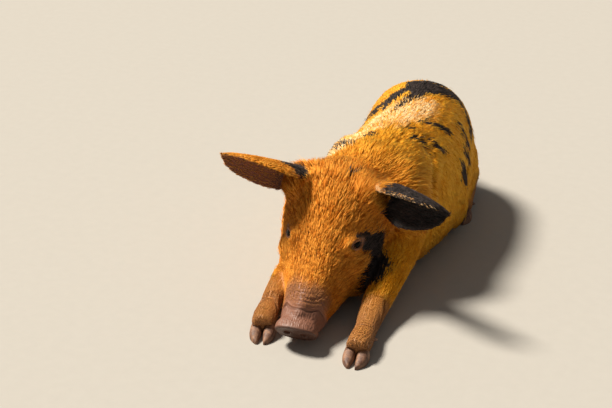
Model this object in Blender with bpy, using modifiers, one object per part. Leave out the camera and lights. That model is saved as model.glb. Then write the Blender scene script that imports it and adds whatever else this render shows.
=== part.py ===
"""A ten-week-old ginger piglet, life size, lying on its belly with its chin on the ground and its forelegs forward.

Metres, +Z up. The piglet faces -Y and its left side is +X. It is shaped with the origin where its chin rests, and at
the end everything moves so that the origin lies under the middle of the whole piglet, on the ground."""

import math

import bmesh
import bpy
import numpy as np
from mathutils import Matrix, Vector
from mathutils.bvhtree import BVHTree

# Head, in its own frame: across to its left, back from the middle of the snout's disc, up across the face
HEAD_YAW = math.radians(4)
HEAD_PITCH = math.radians(19)
HEAD_ROLL = math.radians(3)
DISC_CENTRE = Vector((-0.040, 0.009, 0.0245))
DISC_WIDTH, DISC_HEIGHT, DISC_DEPTH = 0.059, 0.041, 0.011
DISC_TILT = math.radians(21)
# Each row: back, and share of the full width and height
DISC_PROFILE = ((-0.0035, 0.62), (-0.0028, 0.89), (-0.0006, 0.985), (0.0030, 1.0), (0.0072, 0.97), (DISC_DEPTH, 0.90))
NOSTRIL_WIDTH, NOSTRIL_HEIGHT, NOSTRIL_DEPTH, NOSTRIL_SPACING = 0.0090, 0.0115, 0.012, 0.023
# Each row: back, half width, top, bottom, height of the widest place
HEAD_SECTIONS = (
    (0.006, 0.0260, 0.0175, -0.0165, 0.000),
    (0.022, 0.0270, 0.0195, -0.0200, -0.002),
    (0.042, 0.0310, 0.0245, -0.0320, -0.008),
    (0.063, 0.0355, 0.0310, -0.0410, -0.012),
    (0.084, 0.0410, 0.0375, -0.0480, -0.014),
    (0.105, 0.0480, 0.0460, -0.0545, -0.013),
    (0.126, 0.0560, 0.0580, -0.0600, -0.009),
    (0.147, 0.0640, 0.0710, -0.0640, -0.003),
    (0.168, 0.0705, 0.0830, -0.0680, 0.004),
    (0.189, 0.0745, 0.0950, -0.0710, 0.010),
    (0.212, 0.0760, 0.1030, -0.0720, 0.014),
    (0.240, 0.0730, 0.1050, -0.0700, 0.014),
)
BACK_OF_HEAD = 8
HEAD_BACK = 0.234
# Rounded masses laid over the sections on both sides: place and size
HEAD_MASSES = {
    "cheek": ((0.040, 0.158, -0.028), (0.030, 0.046, 0.038)),
    "brow": ((0.032, 0.154, 0.042), (0.022, 0.036, 0.011)),
    "cheek_bone": ((0.050, 0.152, 0.012), (0.016, 0.038, 0.015)),
    "upper_lip": ((0.0210, 0.048, -0.010), (0.0120, 0.038, 0.0115)),
}
CHIN_PLACE, CHIN_SIZE = Vector((0.0, 0.034, -0.026)), (0.0190, 0.022, 0.0125)
BRIDGE_PLACE, BRIDGE_SIZE = Vector((0.0, 0.060, 0.018)), (0.014, 0.055, 0.013)

# Eyes: across, back, up of the eyeball's centre
EYE_PLACE = Vector((0.0432, 0.1445, 0.0360))
EYE_RADIUS = 0.0100
EYE_OUTWARD = math.radians(52)
EYE_UPWARD = math.radians(24)
LID_THICKNESS = 0.0022
LID_GAP_WIDTH, LID_GAP_HEIGHT = 0.0180, 0.0128

# Mouth, as back and up in the head's frame, from under the disc to its corner
MOUTH_LINE = (
    (-0.030, -0.0160),
    (0.012, -0.0160),
    (0.035, -0.0190),
    (0.060, -0.0210),
    (0.080, -0.0190),
    (0.094, -0.0150),
)
MOUTH_GAP = 0.0010
JAW_BACK = ((0.112, -0.0350), (0.134, -0.1100))

# Ears, in the head's frame
EAR_ROOT = {1: Vector((0.0930, 0.2060, 0.0875)), -1: Vector((0.0600, 0.2130, 0.0940))}
EAR_LENGTH, EAR_THICKNESS = 0.128, 0.0034
EAR_WIDTH, EAR_SUNK = {1: 0.114, -1: 0.102}, {1: 0.028, -1: 0.022}
EAR_SEAT_PLACE, EAR_SEAT_SIZE = Vector((0.049, 0.212, 0.068)), Vector((0.026, 0.034, 0.034))
# How far each ear is turned forward and raised: the right one stands up more
EAR_FORWARD = {1: math.radians(33), -1: math.radians(22)}
EAR_RISE = {1: math.radians(23.5), -1: math.radians(27)}
EAR_LEAN = {1: math.radians(-12), -1: math.radians(16)}
# How far the upper edge of each ear rolls over, and by what share it opens again towards the tip
EAR_ROLL_OVER, EAR_OPENS = {1: math.radians(150), -1: math.radians(122)}, {1: 0.12, -1: 0.45}
EAR_CUP, EAR_DROOP = math.radians(50), 0.012

# Trunk. Each row: place along Y, X of the middle, half width, top, height of the widest place, bottom
TRUNK_SECTIONS = (
    (0.215, -0.026, 0.052, 0.190, 0.108, 0.030),
    (0.250, -0.020, 0.074, 0.208, 0.102, 0.004),
    (0.290, -0.012, 0.084, 0.210, 0.095, -0.003),
    (0.340, -0.009, 0.091, 0.210, 0.090, -0.003),
    (0.400, -0.007, 0.094, 0.210, 0.085, -0.003),
    (0.460, -0.014, 0.095, 0.212, 0.085, -0.003),
    (0.515, -0.022, 0.094, 0.211, 0.088, -0.003),
    (0.555, -0.026, 0.085, 0.201, 0.095, -0.001),
    (0.588, -0.031, 0.068, 0.182, 0.100, 0.016),
    (0.610, -0.033, 0.047, 0.158, 0.105, 0.045),
    (0.622, -0.034, 0.022, 0.132, 0.108, 0.080),
)
NECK_FRONT_BACK, NECK_HALF_WIDTH, NECK_HALF_HEIGHT = 0.200, 0.072, 0.091
CHEST_PLACE = Vector((-0.014, 0.290, 0.105))
CHEST_HALF_WIDTH, CHEST_HALF_HEIGHT = 0.078, 0.100
# Shoulders, and the tops of the shoulder blades: the right one is pushed up higher
SHOULDER_MIDDLE, SHOULDER_PLACE, SHOULDER_SIZE = -0.014, Vector((0.042, 0.278, 0.108)), (0.036, 0.062, 0.086)
BLADE_PLACE = {1: Vector((0.048, 0.270, 0.118)), -1: Vector((0.048, 0.275, 0.146))}
BLADE_SIZE = {1: (0.040, 0.060, 0.078), -1: (0.034, 0.060, 0.054)}

# Forelegs: centre line from inside the shoulder to the toes, and its radius at each point
FORELEG_LEFT = (
    (0.032, 0.262, 0.080),
    (0.034, 0.215, 0.055),
    (0.036, 0.155, 0.036),
    (0.037, 0.103, 0.0215),
    (0.041, 0.062, 0.0165),
    (0.0445, 0.030, 0.0175),
    (0.0460, 0.006, 0.0150),
)
FORELEG_RIGHT = (
    (-0.064, 0.262, 0.080),
    (-0.087, 0.215, 0.055),
    (-0.1015, 0.160, 0.036),
    (-0.1075, 0.112, 0.0205),
    (-0.1045, 0.072, 0.0165),
    (-0.0985, 0.041, 0.0170),
    (-0.0935, 0.020, 0.0150),
)
FORELEG_RADII = (0.036, 0.031, 0.0235, 0.0188, 0.0150, 0.0170, 0.0162)

# Hind legs, folded. X is measured outwards from the middle of the rump
RUMP_MIDDLE = -0.018
THIGH_PLACE, THIGH_SIZE = Vector((0.060, 0.492, 0.074)), Vector((0.038, 0.078, 0.070))
THIGH_REGION_SHIFT, THIGH_REGION_SIZE = Vector((0.022, -0.006, -0.006)), (0.050, 0.098, 0.078)
STIFLE_PLACE, STIFLE_SIZE = Vector((0.078, 0.430, 0.046)), Vector((0.024, 0.040, 0.040))
HIND_LEG = (
    (0.060, 0.560, 0.052),
    (0.062, 0.590, 0.033),
    (0.067, 0.570, 0.0185),
    (0.074, 0.534, 0.0150),
    (0.079, 0.500, 0.0165),
    (0.082, 0.476, 0.0150),
)
HIND_LEG_RADII = (0.025, 0.0195, 0.0165, 0.0140, 0.0158, 0.0150)

# Claws: length along the ground, width and height at the back of one claw
CLAW_LENGTH, CLAW_WIDTH, CLAW_HEIGHT, CLAW_TIP_HEIGHT = 0.031, 0.0172, 0.0200, 0.0045
CLAW_REACH, CLAW_SPREAD, CLAW_SPLAY = 0.0225, 0.0104, math.radians(2.5)
DEWCLAW_LENGTH, DEWCLAW_RADIUS, DEWCLAW_BACK, DEWCLAW_DROP = 0.012, 0.0042, 0.9, 0.45

# Tail
TAIL_ROOT = Vector((-0.034, 0.612, 0.142))
TAIL_LENGTH, TAIL_ROOT_RADIUS, TAIL_TIP_RADIUS = 0.105, 0.0070, 0.0022
TAIL_SINK, TAIL_STAND_OFF, TAIL_CURL, TAIL_FALL = 0.006, 0.024, 0.014, 0.72

# Cuts between the nodes
GAP = 0.0003
NECK_CUT = Vector((0.0, 0.262, 0.110))
NECK_CUT_TILT = math.radians(12)
RUMP_CUT = 0.470
LEG_MARGIN = 0.0032

# Fineness of the shaped flesh
VOXEL = 0.0028
SMOOTH_STEPS = 16
HEAD_DETAIL_FACES = 4250
BODY_DETAIL_FACES = 2400

GINGER = (0.45, 0.19, 0.035)
PALE = (0.62, 0.42, 0.22)
PINK = (0.42, 0.20, 0.13)
DARK = (0.035, 0.030, 0.028)
GREY = (0.06, 0.055, 0.055)
CLAW_PINK = (0.40, 0.22, 0.15)


# Objects, materials and small steps

def clear_scene():
    for obj in list(bpy.data.objects):
        bpy.data.objects.remove(obj, do_unlink=True)


def collection_named(name):
    made = bpy.data.collections.new(name)
    bpy.context.scene.collection.children.link(made)
    return made


def material(name, colour, roughness):
    made = bpy.data.materials.new(name)
    made.use_nodes = True
    shader = made.node_tree.nodes["Principled BSDF"]
    shader.inputs["Base Color"].default_value = (*colour, 1.0)
    shader.inputs["Roughness"].default_value = roughness
    shader.inputs["Metallic"].default_value = 0.0
    made.diffuse_color = (*colour, 1.0)
    return made


def object_from(name, mesh, place):
    data = bpy.data.meshes.new(name)
    mesh.to_mesh(data)
    mesh.free()
    made = bpy.data.objects.new(name, data)
    place.objects.link(made)
    return made


def copy_of(obj, name, place):
    made = bpy.data.objects.new(name, obj.data.copy())
    made.matrix_world = obj.matrix_world.copy()
    place.objects.link(made)
    return made


def drop(*objects):
    for obj in objects:
        bpy.data.objects.remove(obj, do_unlink=True)


def settle(obj):
    """Applies the object's modifiers."""
    graph = bpy.context.evaluated_depsgraph_get()
    data = bpy.data.meshes.new_from_object(obj.evaluated_get(graph), depsgraph=graph)
    obj.modifiers.clear()
    obj.data = data


def volume_if_closed(data):
    """The volume inside the mesh, or 0 unless every edge has two faces. Points a micrometre apart count as one."""
    mesh = bmesh.new()
    mesh.from_mesh(data)
    bmesh.ops.remove_doubles(mesh, verts=mesh.verts, dist=1e-6)
    closed = all(edge.is_manifold for edge in mesh.edges)
    volume = mesh.calc_volume(signed=True) if closed else 0.0
    mesh.free()
    return volume


def boolean(target, other, operation):
    """The exact boolean, or the manifold one where the exact one leaves an open mesh or too little of it."""
    before = target.data
    least = 0.0
    if operation == "DIFFERENCE":
        least = 0.98 * (volume_if_closed(before) - volume_if_closed(other.data))
    for solver in ("EXACT", "MANIFOLD"):
        target.data = before
        modifier = target.modifiers.new(operation.title(), "BOOLEAN")
        modifier.operation = operation
        modifier.solver = solver
        modifier.object = other
        settle(target)
        if volume_if_closed(target.data) > max(least, 0.0):
            return


def islands(mesh):
    """The groups of vertices that hang together."""
    left = set(mesh.verts)
    groups = []
    while left:
        reach = [left.pop()]
        group = set(reach)
        while reach:
            vert = reach.pop()
            for edge in vert.link_edges:
                other = edge.other_vert(vert)
                if other in left:
                    left.discard(other)
                    group.add(other)
                    reach.append(other)
        groups.append(group)
    return groups


def volume_of(group):
    """The volume inside a closed group of vertices, from the pyramids that its faces make with the origin."""
    total = 0.0
    for face in {face for vert in group for face in vert.link_faces}:
        first, *rest = [vert.co for vert in face.verts]
        for second, third in zip(rest, rest[1:]):
            total += first.dot(second.cross(third)) / 6
    return total


def keep_largest(obj):
    mesh = bmesh.new()
    mesh.from_mesh(obj.data)
    bmesh.ops.remove_doubles(mesh, verts=mesh.verts, dist=1e-6)
    groups = sorted(islands(mesh), key=volume_of)
    spare = [vert for group in groups[:-1] for vert in group]
    bmesh.ops.delete(mesh, geom=spare, context="VERTS")
    mesh.to_mesh(obj.data)
    mesh.free()


def cut_away(obj, point, normal):
    """Removes what lies on the side of the plane that the normal points to, and closes the cut."""
    mesh = bmesh.new()
    mesh.from_mesh(obj.data)
    everything = mesh.verts[:] + mesh.edges[:] + mesh.faces[:]
    cut = bmesh.ops.bisect_plane(
        mesh, geom=everything, dist=1e-7, plane_co=point, plane_no=normal, clear_outer=True
    )
    edges = [piece for piece in cut["geom_cut"] if isinstance(piece, bmesh.types.BMEdge)]
    bmesh.ops.holes_fill(mesh, edges=[edge for edge in edges if edge.is_boundary])
    bmesh.ops.triangulate(mesh, faces=[face for face in mesh.faces if len(face.verts) > 4])
    mesh.to_mesh(obj.data)
    mesh.free()
    keep_largest(obj)


def grown(obj, by, place):
    """A copy whose faces all stand further out, for a cut that leaves a gap."""
    made = copy_of(obj, obj.name + "_grown", place)
    mesh = bmesh.new()
    mesh.from_mesh(made.data)
    bmesh.ops.triangulate(mesh, faces=mesh.faces)
    mesh.normal_update()
    moves = [vert.normal * by * min(vert.calc_shell_factor(), 2.5) for vert in mesh.verts]
    for vert, move in zip(mesh.verts, moves):
        vert.co += move
    mesh.to_mesh(made.data)
    mesh.free()
    return made


def surface_place(obj, start, way):
    """Where a line from the start meets the object's skin."""
    data = obj.data
    tree = BVHTree.FromPolygons([vert.co for vert in data.vertices], [face.vertices[:] for face in data.polygons])
    return tree.ray_cast(start, way)[0]


def decimated(obj, faces, name, place):
    made = copy_of(obj, name, place)
    modifier = made.modifiers.new("Fewer faces", "DECIMATE")
    modifier.ratio = min(1.0, faces / (2 * len(obj.data.polygons)))
    modifier.use_collapse_triangulate = True
    settle(made)
    return made


# Shapes

def oval(half_width, top, bottom, middle, count=32, power_up=2.0, power_down=2.4):
    """Points (across, up) of a rounded section that is widest at the middle height."""
    points = []
    for i in range(count):
        turn = 2 * math.pi * i / count
        side, rise = math.cos(turn), math.sin(turn)
        power = power_up if rise > 0 else power_down
        reach = top - middle if rise > 0 else middle - bottom
        across = half_width * math.copysign(abs(side) ** (2 / power), side)
        points.append((across, middle + reach * math.copysign(abs(rise) ** (2 / power), rise)))
    return points


def loft(name, rings, place):
    """A closed skin through rings of points, each a loop of the same count."""
    mesh = bmesh.new()
    loops = [[mesh.verts.new(point) for point in ring] for ring in rings]
    for near, far in zip(loops, loops[1:]):
        for i, vert in enumerate(near):
            after = (i + 1) % len(near)
            mesh.faces.new((vert, near[after], far[after]))
            mesh.faces.new((vert, far[after], far[i]))
    mesh.faces.new(loops[0][::-1])
    mesh.faces.new(loops[-1])
    bmesh.ops.triangulate(mesh, faces=[face for face in mesh.faces if len(face.verts) > 4])
    bmesh.ops.recalc_face_normals(mesh, faces=mesh.faces)
    return object_from(name, mesh, place)


def ball(name, centre, size, place, matrix=None, segments=28, rings=16):
    mesh = bmesh.new()
    shape = (matrix or Matrix()) @ Matrix.Translation(centre) @ Matrix.Diagonal((*size, 1.0))
    bmesh.ops.create_uvsphere(mesh, u_segments=segments, v_segments=rings, radius=1.0, matrix=shape)
    return object_from(name, mesh, place)


def smooth_path(points, steps):
    """A Catmull-Rom curve through the points, with steps places from each to the next."""
    places = [Vector(point) for point in points]
    ends = [2 * places[0] - places[1], *places, 2 * places[-1] - places[-2]]
    path = []
    for i in range(1, len(ends) - 2):
        before, start, end, after = ends[i - 1 : i + 3]
        for step in range(steps):
            t = step / steps
            bend = (2 * before - 5 * start + 4 * end - after) * t**2
            twist = (3 * start - before - 3 * end + after) * t**3
            path.append((2 * start + (end - before) * t + bend + twist) / 2)
    path.append(places[-1])
    return path


def limb(name, points, radii, place, grow=0.0, count=20, steps=4):
    """A round limb along a smooth centre line, with steps rings from each of its points to the next and count points
    in each ring."""
    path = smooth_path(points, steps)
    along = np.linspace(0, len(radii) - 1, len(path))
    widths = [float(width) + grow for width in np.interp(along, range(len(radii)), radii)]
    rings = []
    for i, centre in enumerate(path):
        tangent = (path[min(i + 1, len(path) - 1)] - path[max(i - 1, 0)]).normalized()
        side = tangent.cross(Vector((0, 0, 1))).normalized()
        up = side.cross(tangent)
        turns = [2 * math.pi * k / count for k in range(count)]
        rings.append([centre + widths[i] * (math.cos(t) * side + math.sin(t) * up) for t in turns])
    return loft(name, rings, place)


def head_frame():
    turn = Matrix.Rotation(HEAD_YAW, 4, "Z") @ Matrix.Rotation(HEAD_PITCH, 4, "X")
    return Matrix.Translation(DISC_CENTRE) @ turn @ Matrix.Rotation(HEAD_ROLL, 4, "Y")


HEAD = head_frame()


def mirrored(place, side):
    return Vector((side * place.x, place.y, place.z))


# Flesh of the whole body

def head_core(place, first=0):
    rings = []
    for back, half_width, top, bottom, middle in HEAD_SECTIONS[first:]:
        section = oval(half_width, top, bottom, middle, power_up=2.0, power_down=2.3)
        rings.append([HEAD @ Vector((across, back, up)) for across, up in section])
    return loft("head_core", rings, place)


def head_masses(place):
    """Cheeks, brows, cheek bones, lips, chin and the bridge of the nose."""
    made = []
    for side in (-1, 1):
        for name, (centre, size) in HEAD_MASSES.items():
            made.append(ball(name, mirrored(Vector(centre), side), size, place, HEAD))
    made.append(ball("chin", CHIN_PLACE, CHIN_SIZE, place, HEAD))
    made.append(ball("nose_bridge", BRIDGE_PLACE, BRIDGE_SIZE, place, HEAD))
    return made


def ear_seats(place):
    return [ball("ear_seat", mirrored(EAR_SEAT_PLACE, side), EAR_SEAT_SIZE, place, HEAD) for side in (-1, 1)]


def neck_core(place):
    """Rings that turn from the head's own slope to the level of the chest."""
    start = HEAD @ Vector((0.0, NECK_FRONT_BACK, 0.012))
    rings = []
    steps = 6
    for i in range(steps + 1):
        t = i / steps
        centre = start.lerp(CHEST_PLACE, t)
        turn = Matrix.Rotation(HEAD_YAW * (1 - t), 3, "Z") @ Matrix.Rotation(HEAD_PITCH * (1 - t), 3, "X")
        half_width = NECK_HALF_WIDTH + (CHEST_HALF_WIDTH - NECK_HALF_WIDTH) * t
        half_height = NECK_HALF_HEIGHT + (CHEST_HALF_HEIGHT - NECK_HALF_HEIGHT) * t
        section = oval(half_width, half_height, -half_height, 0.0, power_up=2.1, power_down=2.1)
        rings.append([centre + turn @ Vector((across, 0.0, up)) for across, up in section])
    return loft("neck_core", rings, place)


def trunk_core(place):
    rings = []
    for along, middle, half_width, top, widest, bottom in TRUNK_SECTIONS:
        section = oval(half_width, top, bottom, widest, count=40, power_up=2.2, power_down=2.7)
        rings.append([Vector((middle + across, along, up)) for across, up in section])
    return loft("trunk_core", rings, place)


def shoulder_masses(place):
    made = []
    middle = Vector((SHOULDER_MIDDLE, 0, 0))
    for side in (-1, 1):
        made.append(ball("shoulder", middle + mirrored(SHOULDER_PLACE, side), SHOULDER_SIZE, place))
        made.append(ball("blade", middle + mirrored(BLADE_PLACE[side], side), BLADE_SIZE[side], place))
    return made


def hind_masses(place):
    made = []
    for side in (-1, 1):
        for name, centre, size in (
            ("thigh", THIGH_PLACE, THIGH_SIZE),
            ("stifle", STIFLE_PLACE, STIFLE_SIZE),
        ):
            outward = Vector((RUMP_MIDDLE + side * centre.x, centre.y, centre.z))
            made.append(ball(name, outward, size, place))
    return made


def hind_leg_points(side):
    return [(RUMP_MIDDLE + side * x, y, z) for x, y, z in HIND_LEG]


def fused(name, pieces, place):
    """The pieces as one closed, softened skin."""
    mesh = bmesh.new()
    for piece in pieces:
        mesh.from_mesh(piece.data)
    drop(*pieces)
    flesh = object_from(name, mesh, place)
    remesh = flesh.modifiers.new("Fuse", "REMESH")
    remesh.mode = "VOXEL"
    remesh.voxel_size = VOXEL
    smooth = flesh.modifiers.new("Soften", "SMOOTH")
    smooth.factor = 0.5
    smooth.iterations = SMOOTH_STEPS
    settle(flesh)
    keep_largest(flesh)
    return flesh


def flesh_without_legs(place):
    pieces = [head_core(place), neck_core(place), trunk_core(place)]
    pieces += head_masses(place) + ear_seats(place) + shoulder_masses(place) + hind_masses(place)
    return fused("flesh", pieces, place)


def flesh_with_legs(place):
    """The trunk with all four legs, so that each leg flows out of it. Of the head only its back is there, clear of the
    forelegs."""
    pieces = [head_core(place, BACK_OF_HEAD), neck_core(place), trunk_core(place)]
    pieces += ear_seats(place) + shoulder_masses(place) + hind_masses(place)
    pieces.append(limb("foreleg", FORELEG_LEFT, FORELEG_RADII, place))
    pieces.append(limb("foreleg", FORELEG_RIGHT, FORELEG_RADII, place))
    pieces += [limb("hind_leg", hind_leg_points(side), HIND_LEG_RADII, place) for side in (-1, 1)]
    return fused("flesh_with_legs", pieces, place)


# Head

def prism(name, outline, matrix, place, half_width=0.2):
    """A flat outline of (back, up) points drawn out across the head."""
    rings = [[matrix @ Vector((side * half_width, back, up)) for back, up in outline] for side in (-1, 1)]
    return loft(name, rings, place)


def jaw_region(shrink, place):
    """What lies under the mouth line, less shrink on its upper and back sides."""
    line = [(back, up - shrink) for back, up in MOUTH_LINE]
    rear = [(back - shrink, up - shrink) for back, up in JAW_BACK]
    return prism("jaw_region", [*line, *rear, (MOUTH_LINE[0][0], JAW_BACK[-1][1])], HEAD, place)


def disc(place, guides):
    """The snout's disc, with a rounded rim a little proud of the muzzle, and two nostrils."""
    front = DISC_PROFILE[0][0]
    rings = []
    for back, spread in DISC_PROFILE:
        half_width, half_height = spread * DISC_WIDTH / 2, spread * DISC_HEIGHT / 2
        section = oval(half_width, half_height, -half_height, 0.0, 28, 2.3, 2.1)
        lean = math.tan(DISC_TILT) * (DISC_DEPTH - back) / (DISC_DEPTH - front)
        rings.append([HEAD @ Vector((across, back - lean * up, up)) for across, up in section])
    made = loft("snout", rings, place)
    for side in (-1, 1):
        centre = Vector((side * NOSTRIL_SPACING / 2, -0.001, -0.001))
        size = (NOSTRIL_WIDTH / 2, NOSTRIL_DEPTH - 0.002, NOSTRIL_HEIGHT / 2)
        hole = ball("nostril", centre, size, guides, HEAD, 12, 8)
        boolean(made, hole, "DIFFERENCE")
        drop(hole)
    return made


def eye_matrix(side):
    """The eye's own frame: it looks along -Y."""
    turn = Matrix.Rotation(side * EYE_OUTWARD, 4, "Z") @ Matrix.Rotation(-EYE_UPWARD, 4, "X")
    return HEAD @ Matrix.Translation(mirrored(EYE_PLACE, side)) @ turn


def lid_gap(side, place):
    """An almond-shaped bar along the eye's line of sight, for the gap between the lids."""
    matrix = eye_matrix(side)
    count = 24
    outline = []
    for i in range(count):
        turn = 2 * math.pi * i / count
        across = math.cos(turn) * LID_GAP_WIDTH / 2
        up = math.copysign(abs(math.sin(turn)) ** 1.25, math.sin(turn)) * LID_GAP_HEIGHT / 2
        outline.append((across, up))
    rings = [[matrix @ Vector((across, back, up)) for across, up in outline] for back in (-0.03, 0.0)]
    return loft("lid_gap", rings, place)


def fit_eyes(head, place, parts):
    """Lids around each eyeball, with the socket hollowed behind them."""
    for name, side in (("eye_left", 1), ("eye_right", -1)):
        matrix = eye_matrix(side)
        lids = ball("lids", Vector(), [EYE_RADIUS + LID_THICKNESS] * 3, place, matrix, 20, 12)
        boolean(head, lids, "UNION")
        socket = ball("socket", Vector(), [EYE_RADIUS + GAP] * 3, place, matrix, 18, 10)
        boolean(head, socket, "DIFFERENCE")
        gap = lid_gap(side, place)
        boolean(head, gap, "DIFFERENCE")
        drop(lids, socket, gap)
        ball(name, Vector(), [EYE_RADIUS] * 3, parts, matrix, 18, 10)


def ear_surface(side):
    """Rows of points over a leaf, from the root to the tip. Its hollow faces forward and its upper edge rolls over."""
    rows, columns = 10, 10
    grid = []
    for i in range(rows + 1):
        along = i / rows
        root = 0.72 + 0.28 * min(1.0, along / 0.25)
        half = EAR_WIDTH[side] / 2 * root * (0.86 + 0.66 * along) * max(0.0, 1 - along) ** 0.58
        half = max(half, 0.0024)
        row = []
        for j in range(columns + 1):
            across = 2 * j / columns - 1
            bend = EAR_ROLL_OVER[side] * (1 - EAR_OPENS[side] * along) if across > 0 else EAR_CUP
            radius = half / bend
            ahead = radius * (1 - math.cos(bend * across))
            up = radius * math.sin(bend * across)
            droop = EAR_DROOP * along**2
            row.append(Vector((side * (EAR_LENGTH * along - EAR_SUNK[side]), -ahead, up - droop)))
        grid.append(row)
    return grid


def ear_frame(side):
    """Outward along the ear, with its root line nearly upright."""
    turn = Matrix.Rotation(-side * EAR_FORWARD[side], 4, "Z") @ Matrix.Rotation(-side * EAR_RISE[side], 4, "Y")
    root = Matrix.Translation(mirrored(EAR_ROOT[side], side))
    return HEAD @ root @ turn @ Matrix.Rotation(EAR_LEAN[side], 4, "X")


def ear(name, side, place):
    """A leaf as thick as a piglet's ear, with its root sunk in the head."""
    mesh = bmesh.new()
    frame = ear_frame(side)
    rows = [[mesh.verts.new(frame @ point) for point in row] for row in ear_surface(side)]
    for near, far in zip(rows, rows[1:]):
        for j in range(len(near) - 1):
            mesh.faces.new((near[j], near[j + 1], far[j + 1], far[j]))
    bmesh.ops.triangulate(mesh, faces=mesh.faces)
    bmesh.ops.recalc_face_normals(mesh, faces=mesh.faces)
    made = object_from(name, mesh, place)
    shell = made.modifiers.new("Thickness", "SOLIDIFY")
    shell.thickness = EAR_THICKNESS
    shell.offset = 0.0
    settle(made)
    return made


def head_nodes(flesh, place, parts):
    fine = decimated(flesh, HEAD_DETAIL_FACES, "head_detail", place)
    forward = (HEAD.to_3x3() @ Vector((0, -1, 0))).normalized()
    cut_away(fine, HEAD @ Vector((0, DISC_DEPTH + GAP, 0)), forward)
    cut_away(fine, HEAD @ Vector((0, HEAD_BACK, 0)), -forward)
    cut_away(fine, Vector((0, 0, 0)), Vector((0, 0, -1)))
    jaw = copy_of(fine, "jaw", parts)
    region = jaw_region(MOUTH_GAP / 2, place)
    boolean(jaw, region, "INTERSECT")
    drop(region)
    keep_largest(jaw)
    head = copy_of(fine, "head", parts)
    region = jaw_region(-MOUTH_GAP / 2 + GAP, place)
    boolean(head, region, "DIFFERENCE")
    drop(region, fine)
    keep_largest(head)
    fit_eyes(head, place, parts)
    keep_largest(head)
    wider = grown(head, GAP, place)
    for name, side in (("ear_left", 1), ("ear_right", -1)):
        made = ear(name, side, parts)
        boolean(made, wider, "DIFFERENCE")
        keep_largest(made)
    drop(wider)
    cut_away(disc(parts, place), Vector((0, 0, 0)), Vector((0, 0, -1)))


# Legs

def leg_regions(place, grow):
    """Tubes a little wider than each leg, from where it leaves the body to past its toes."""
    made = {}
    for name, points, radii in (
        ("foreleg_left", FORELEG_LEFT, FORELEG_RADII),
        ("foreleg_right", FORELEG_RIGHT, FORELEG_RADII),
        ("hindleg_left", hind_leg_points(1)[1:], HIND_LEG_RADII[1:]),
        ("hindleg_right", hind_leg_points(-1)[1:], HIND_LEG_RADII[1:]),
    ):
        last, before = Vector(points[-1]), Vector(points[-2])
        longer = [*points, last + (last - before)]
        wide = [radius + LEG_MARGIN for radius in (*radii, radii[-1])]
        steps = 2
        if name.startswith("foreleg"):
            first, second = Vector(points[0]), Vector(points[1])
            longer = [first + 0.5 * (first - second), *longer]
            wide = [0.8 * wide[0], *wide]
            steps = 1
        start = Vector(longer[0])
        longer[0] = start + grow * (start - Vector(longer[1])).normalized()
        made[name] = limb(name + "_region", longer, wide, place, grow, 12, steps)
    return made


def thigh_region(side, place, grow):
    centre = Vector((RUMP_MIDDLE, 0, 0)) + mirrored(THIGH_PLACE + THIGH_REGION_SHIFT, side)
    size = [reach + grow for reach in THIGH_REGION_SIZE]
    return ball("thigh_region", centre, size, place, None, 20, 12)


def claw(name, tip, heading, outward, place, grow=0.0):
    """One claw: flat under, with a straight inner wall and an outer wall that curves in to the tip. Outward is the side
    that its outer wall is on. It points along the heading."""
    rings = []
    steps = 5
    for i in range(steps + 1):
        t = i / steps
        half = CLAW_WIDTH / 2 * max(0.08, 1 - (1 - min(1.0, 1.5 * t)) ** 1.9) ** 0.75
        shift = -0.65 * outward * (CLAW_WIDTH / 2 - half)
        height = CLAW_TIP_HEIGHT + (CLAW_HEIGHT - CLAW_TIP_HEIGHT) * t**0.9
        section = oval(half + grow, height + grow, -0.002 - grow, height * 0.35, 10, 2.6, 4.0)
        back = CLAW_LENGTH * t + grow * (2 * t - 1)
        rings.append([Vector((shift + across, back, up)) for across, up in section])
    made = loft(name, rings, place)
    made.data.transform(Matrix.Translation(tip) @ Matrix.Rotation(heading, 4, "Z"))
    if not grow:
        cut_away(made, Vector((0, 0, 0)), Vector((0, 0, -1)))
    return made


def dewclaw(name, tip, root, place, grow=0.0):
    direction = (root - tip).normalized()
    path = [tip.lerp(root, t) for t in (0.0, 0.3, 0.65, 1.0)]
    path[0] -= grow * direction
    path[-1] += grow * direction
    radii = [DEWCLAW_RADIUS * spread for spread in (0.25, 0.72, 1.0, 1.0)]
    made = limb(name, path, radii, place, grow, 8, 1)
    if not grow:
        cut_away(made, Vector((0, 0, 0)), Vector((0, 0, -1)))
    return made


def fit_claws(fleshes, name, points, place, parts):
    """Two claws in front and two small ones behind, each with its seat cut in the flesh around it."""
    toe, fetlock = Vector(points[-1]), Vector(points[-2])
    ahead = Vector((toe.x - fetlock.x, toe.y - fetlock.y, 0)).normalized()
    out = Vector((0, 0, 1)).cross(ahead)
    heading = math.atan2(ahead.y, ahead.x) + math.pi / 2
    seats = []
    for label, side in (("inner", -1), ("outer", 1)):
        toward = side if name.endswith("left") else -side
        tip = toe + ahead * CLAW_REACH + out * toward * CLAW_SPREAD
        tip.z = 0.0
        turned = heading + toward * CLAW_SPLAY
        claw(f"{name}_claw_{label}", tip, turned, toward, parts)
        seats.append(claw("seat", tip, turned, toward, place, GAP))
        way = (out * toward - ahead * DEWCLAW_BACK - Vector((0, 0, DEWCLAW_DROP))).normalized()
        skin = surface_place(fleshes[0], fetlock - ahead * 0.006, way)
        point, root = skin + way * DEWCLAW_LENGTH * 0.45, skin - way * DEWCLAW_LENGTH * 0.55
        dewclaw(f"{name}_dewclaw_{label}", point, root, parts)
        seats.append(dewclaw("seat", point, root, place, GAP))
    for seat in seats:
        for flesh in fleshes:
            boolean(flesh, seat, "DIFFERENCE")
    drop(*seats)
    for flesh in fleshes:
        keep_largest(flesh)


# Body

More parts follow.
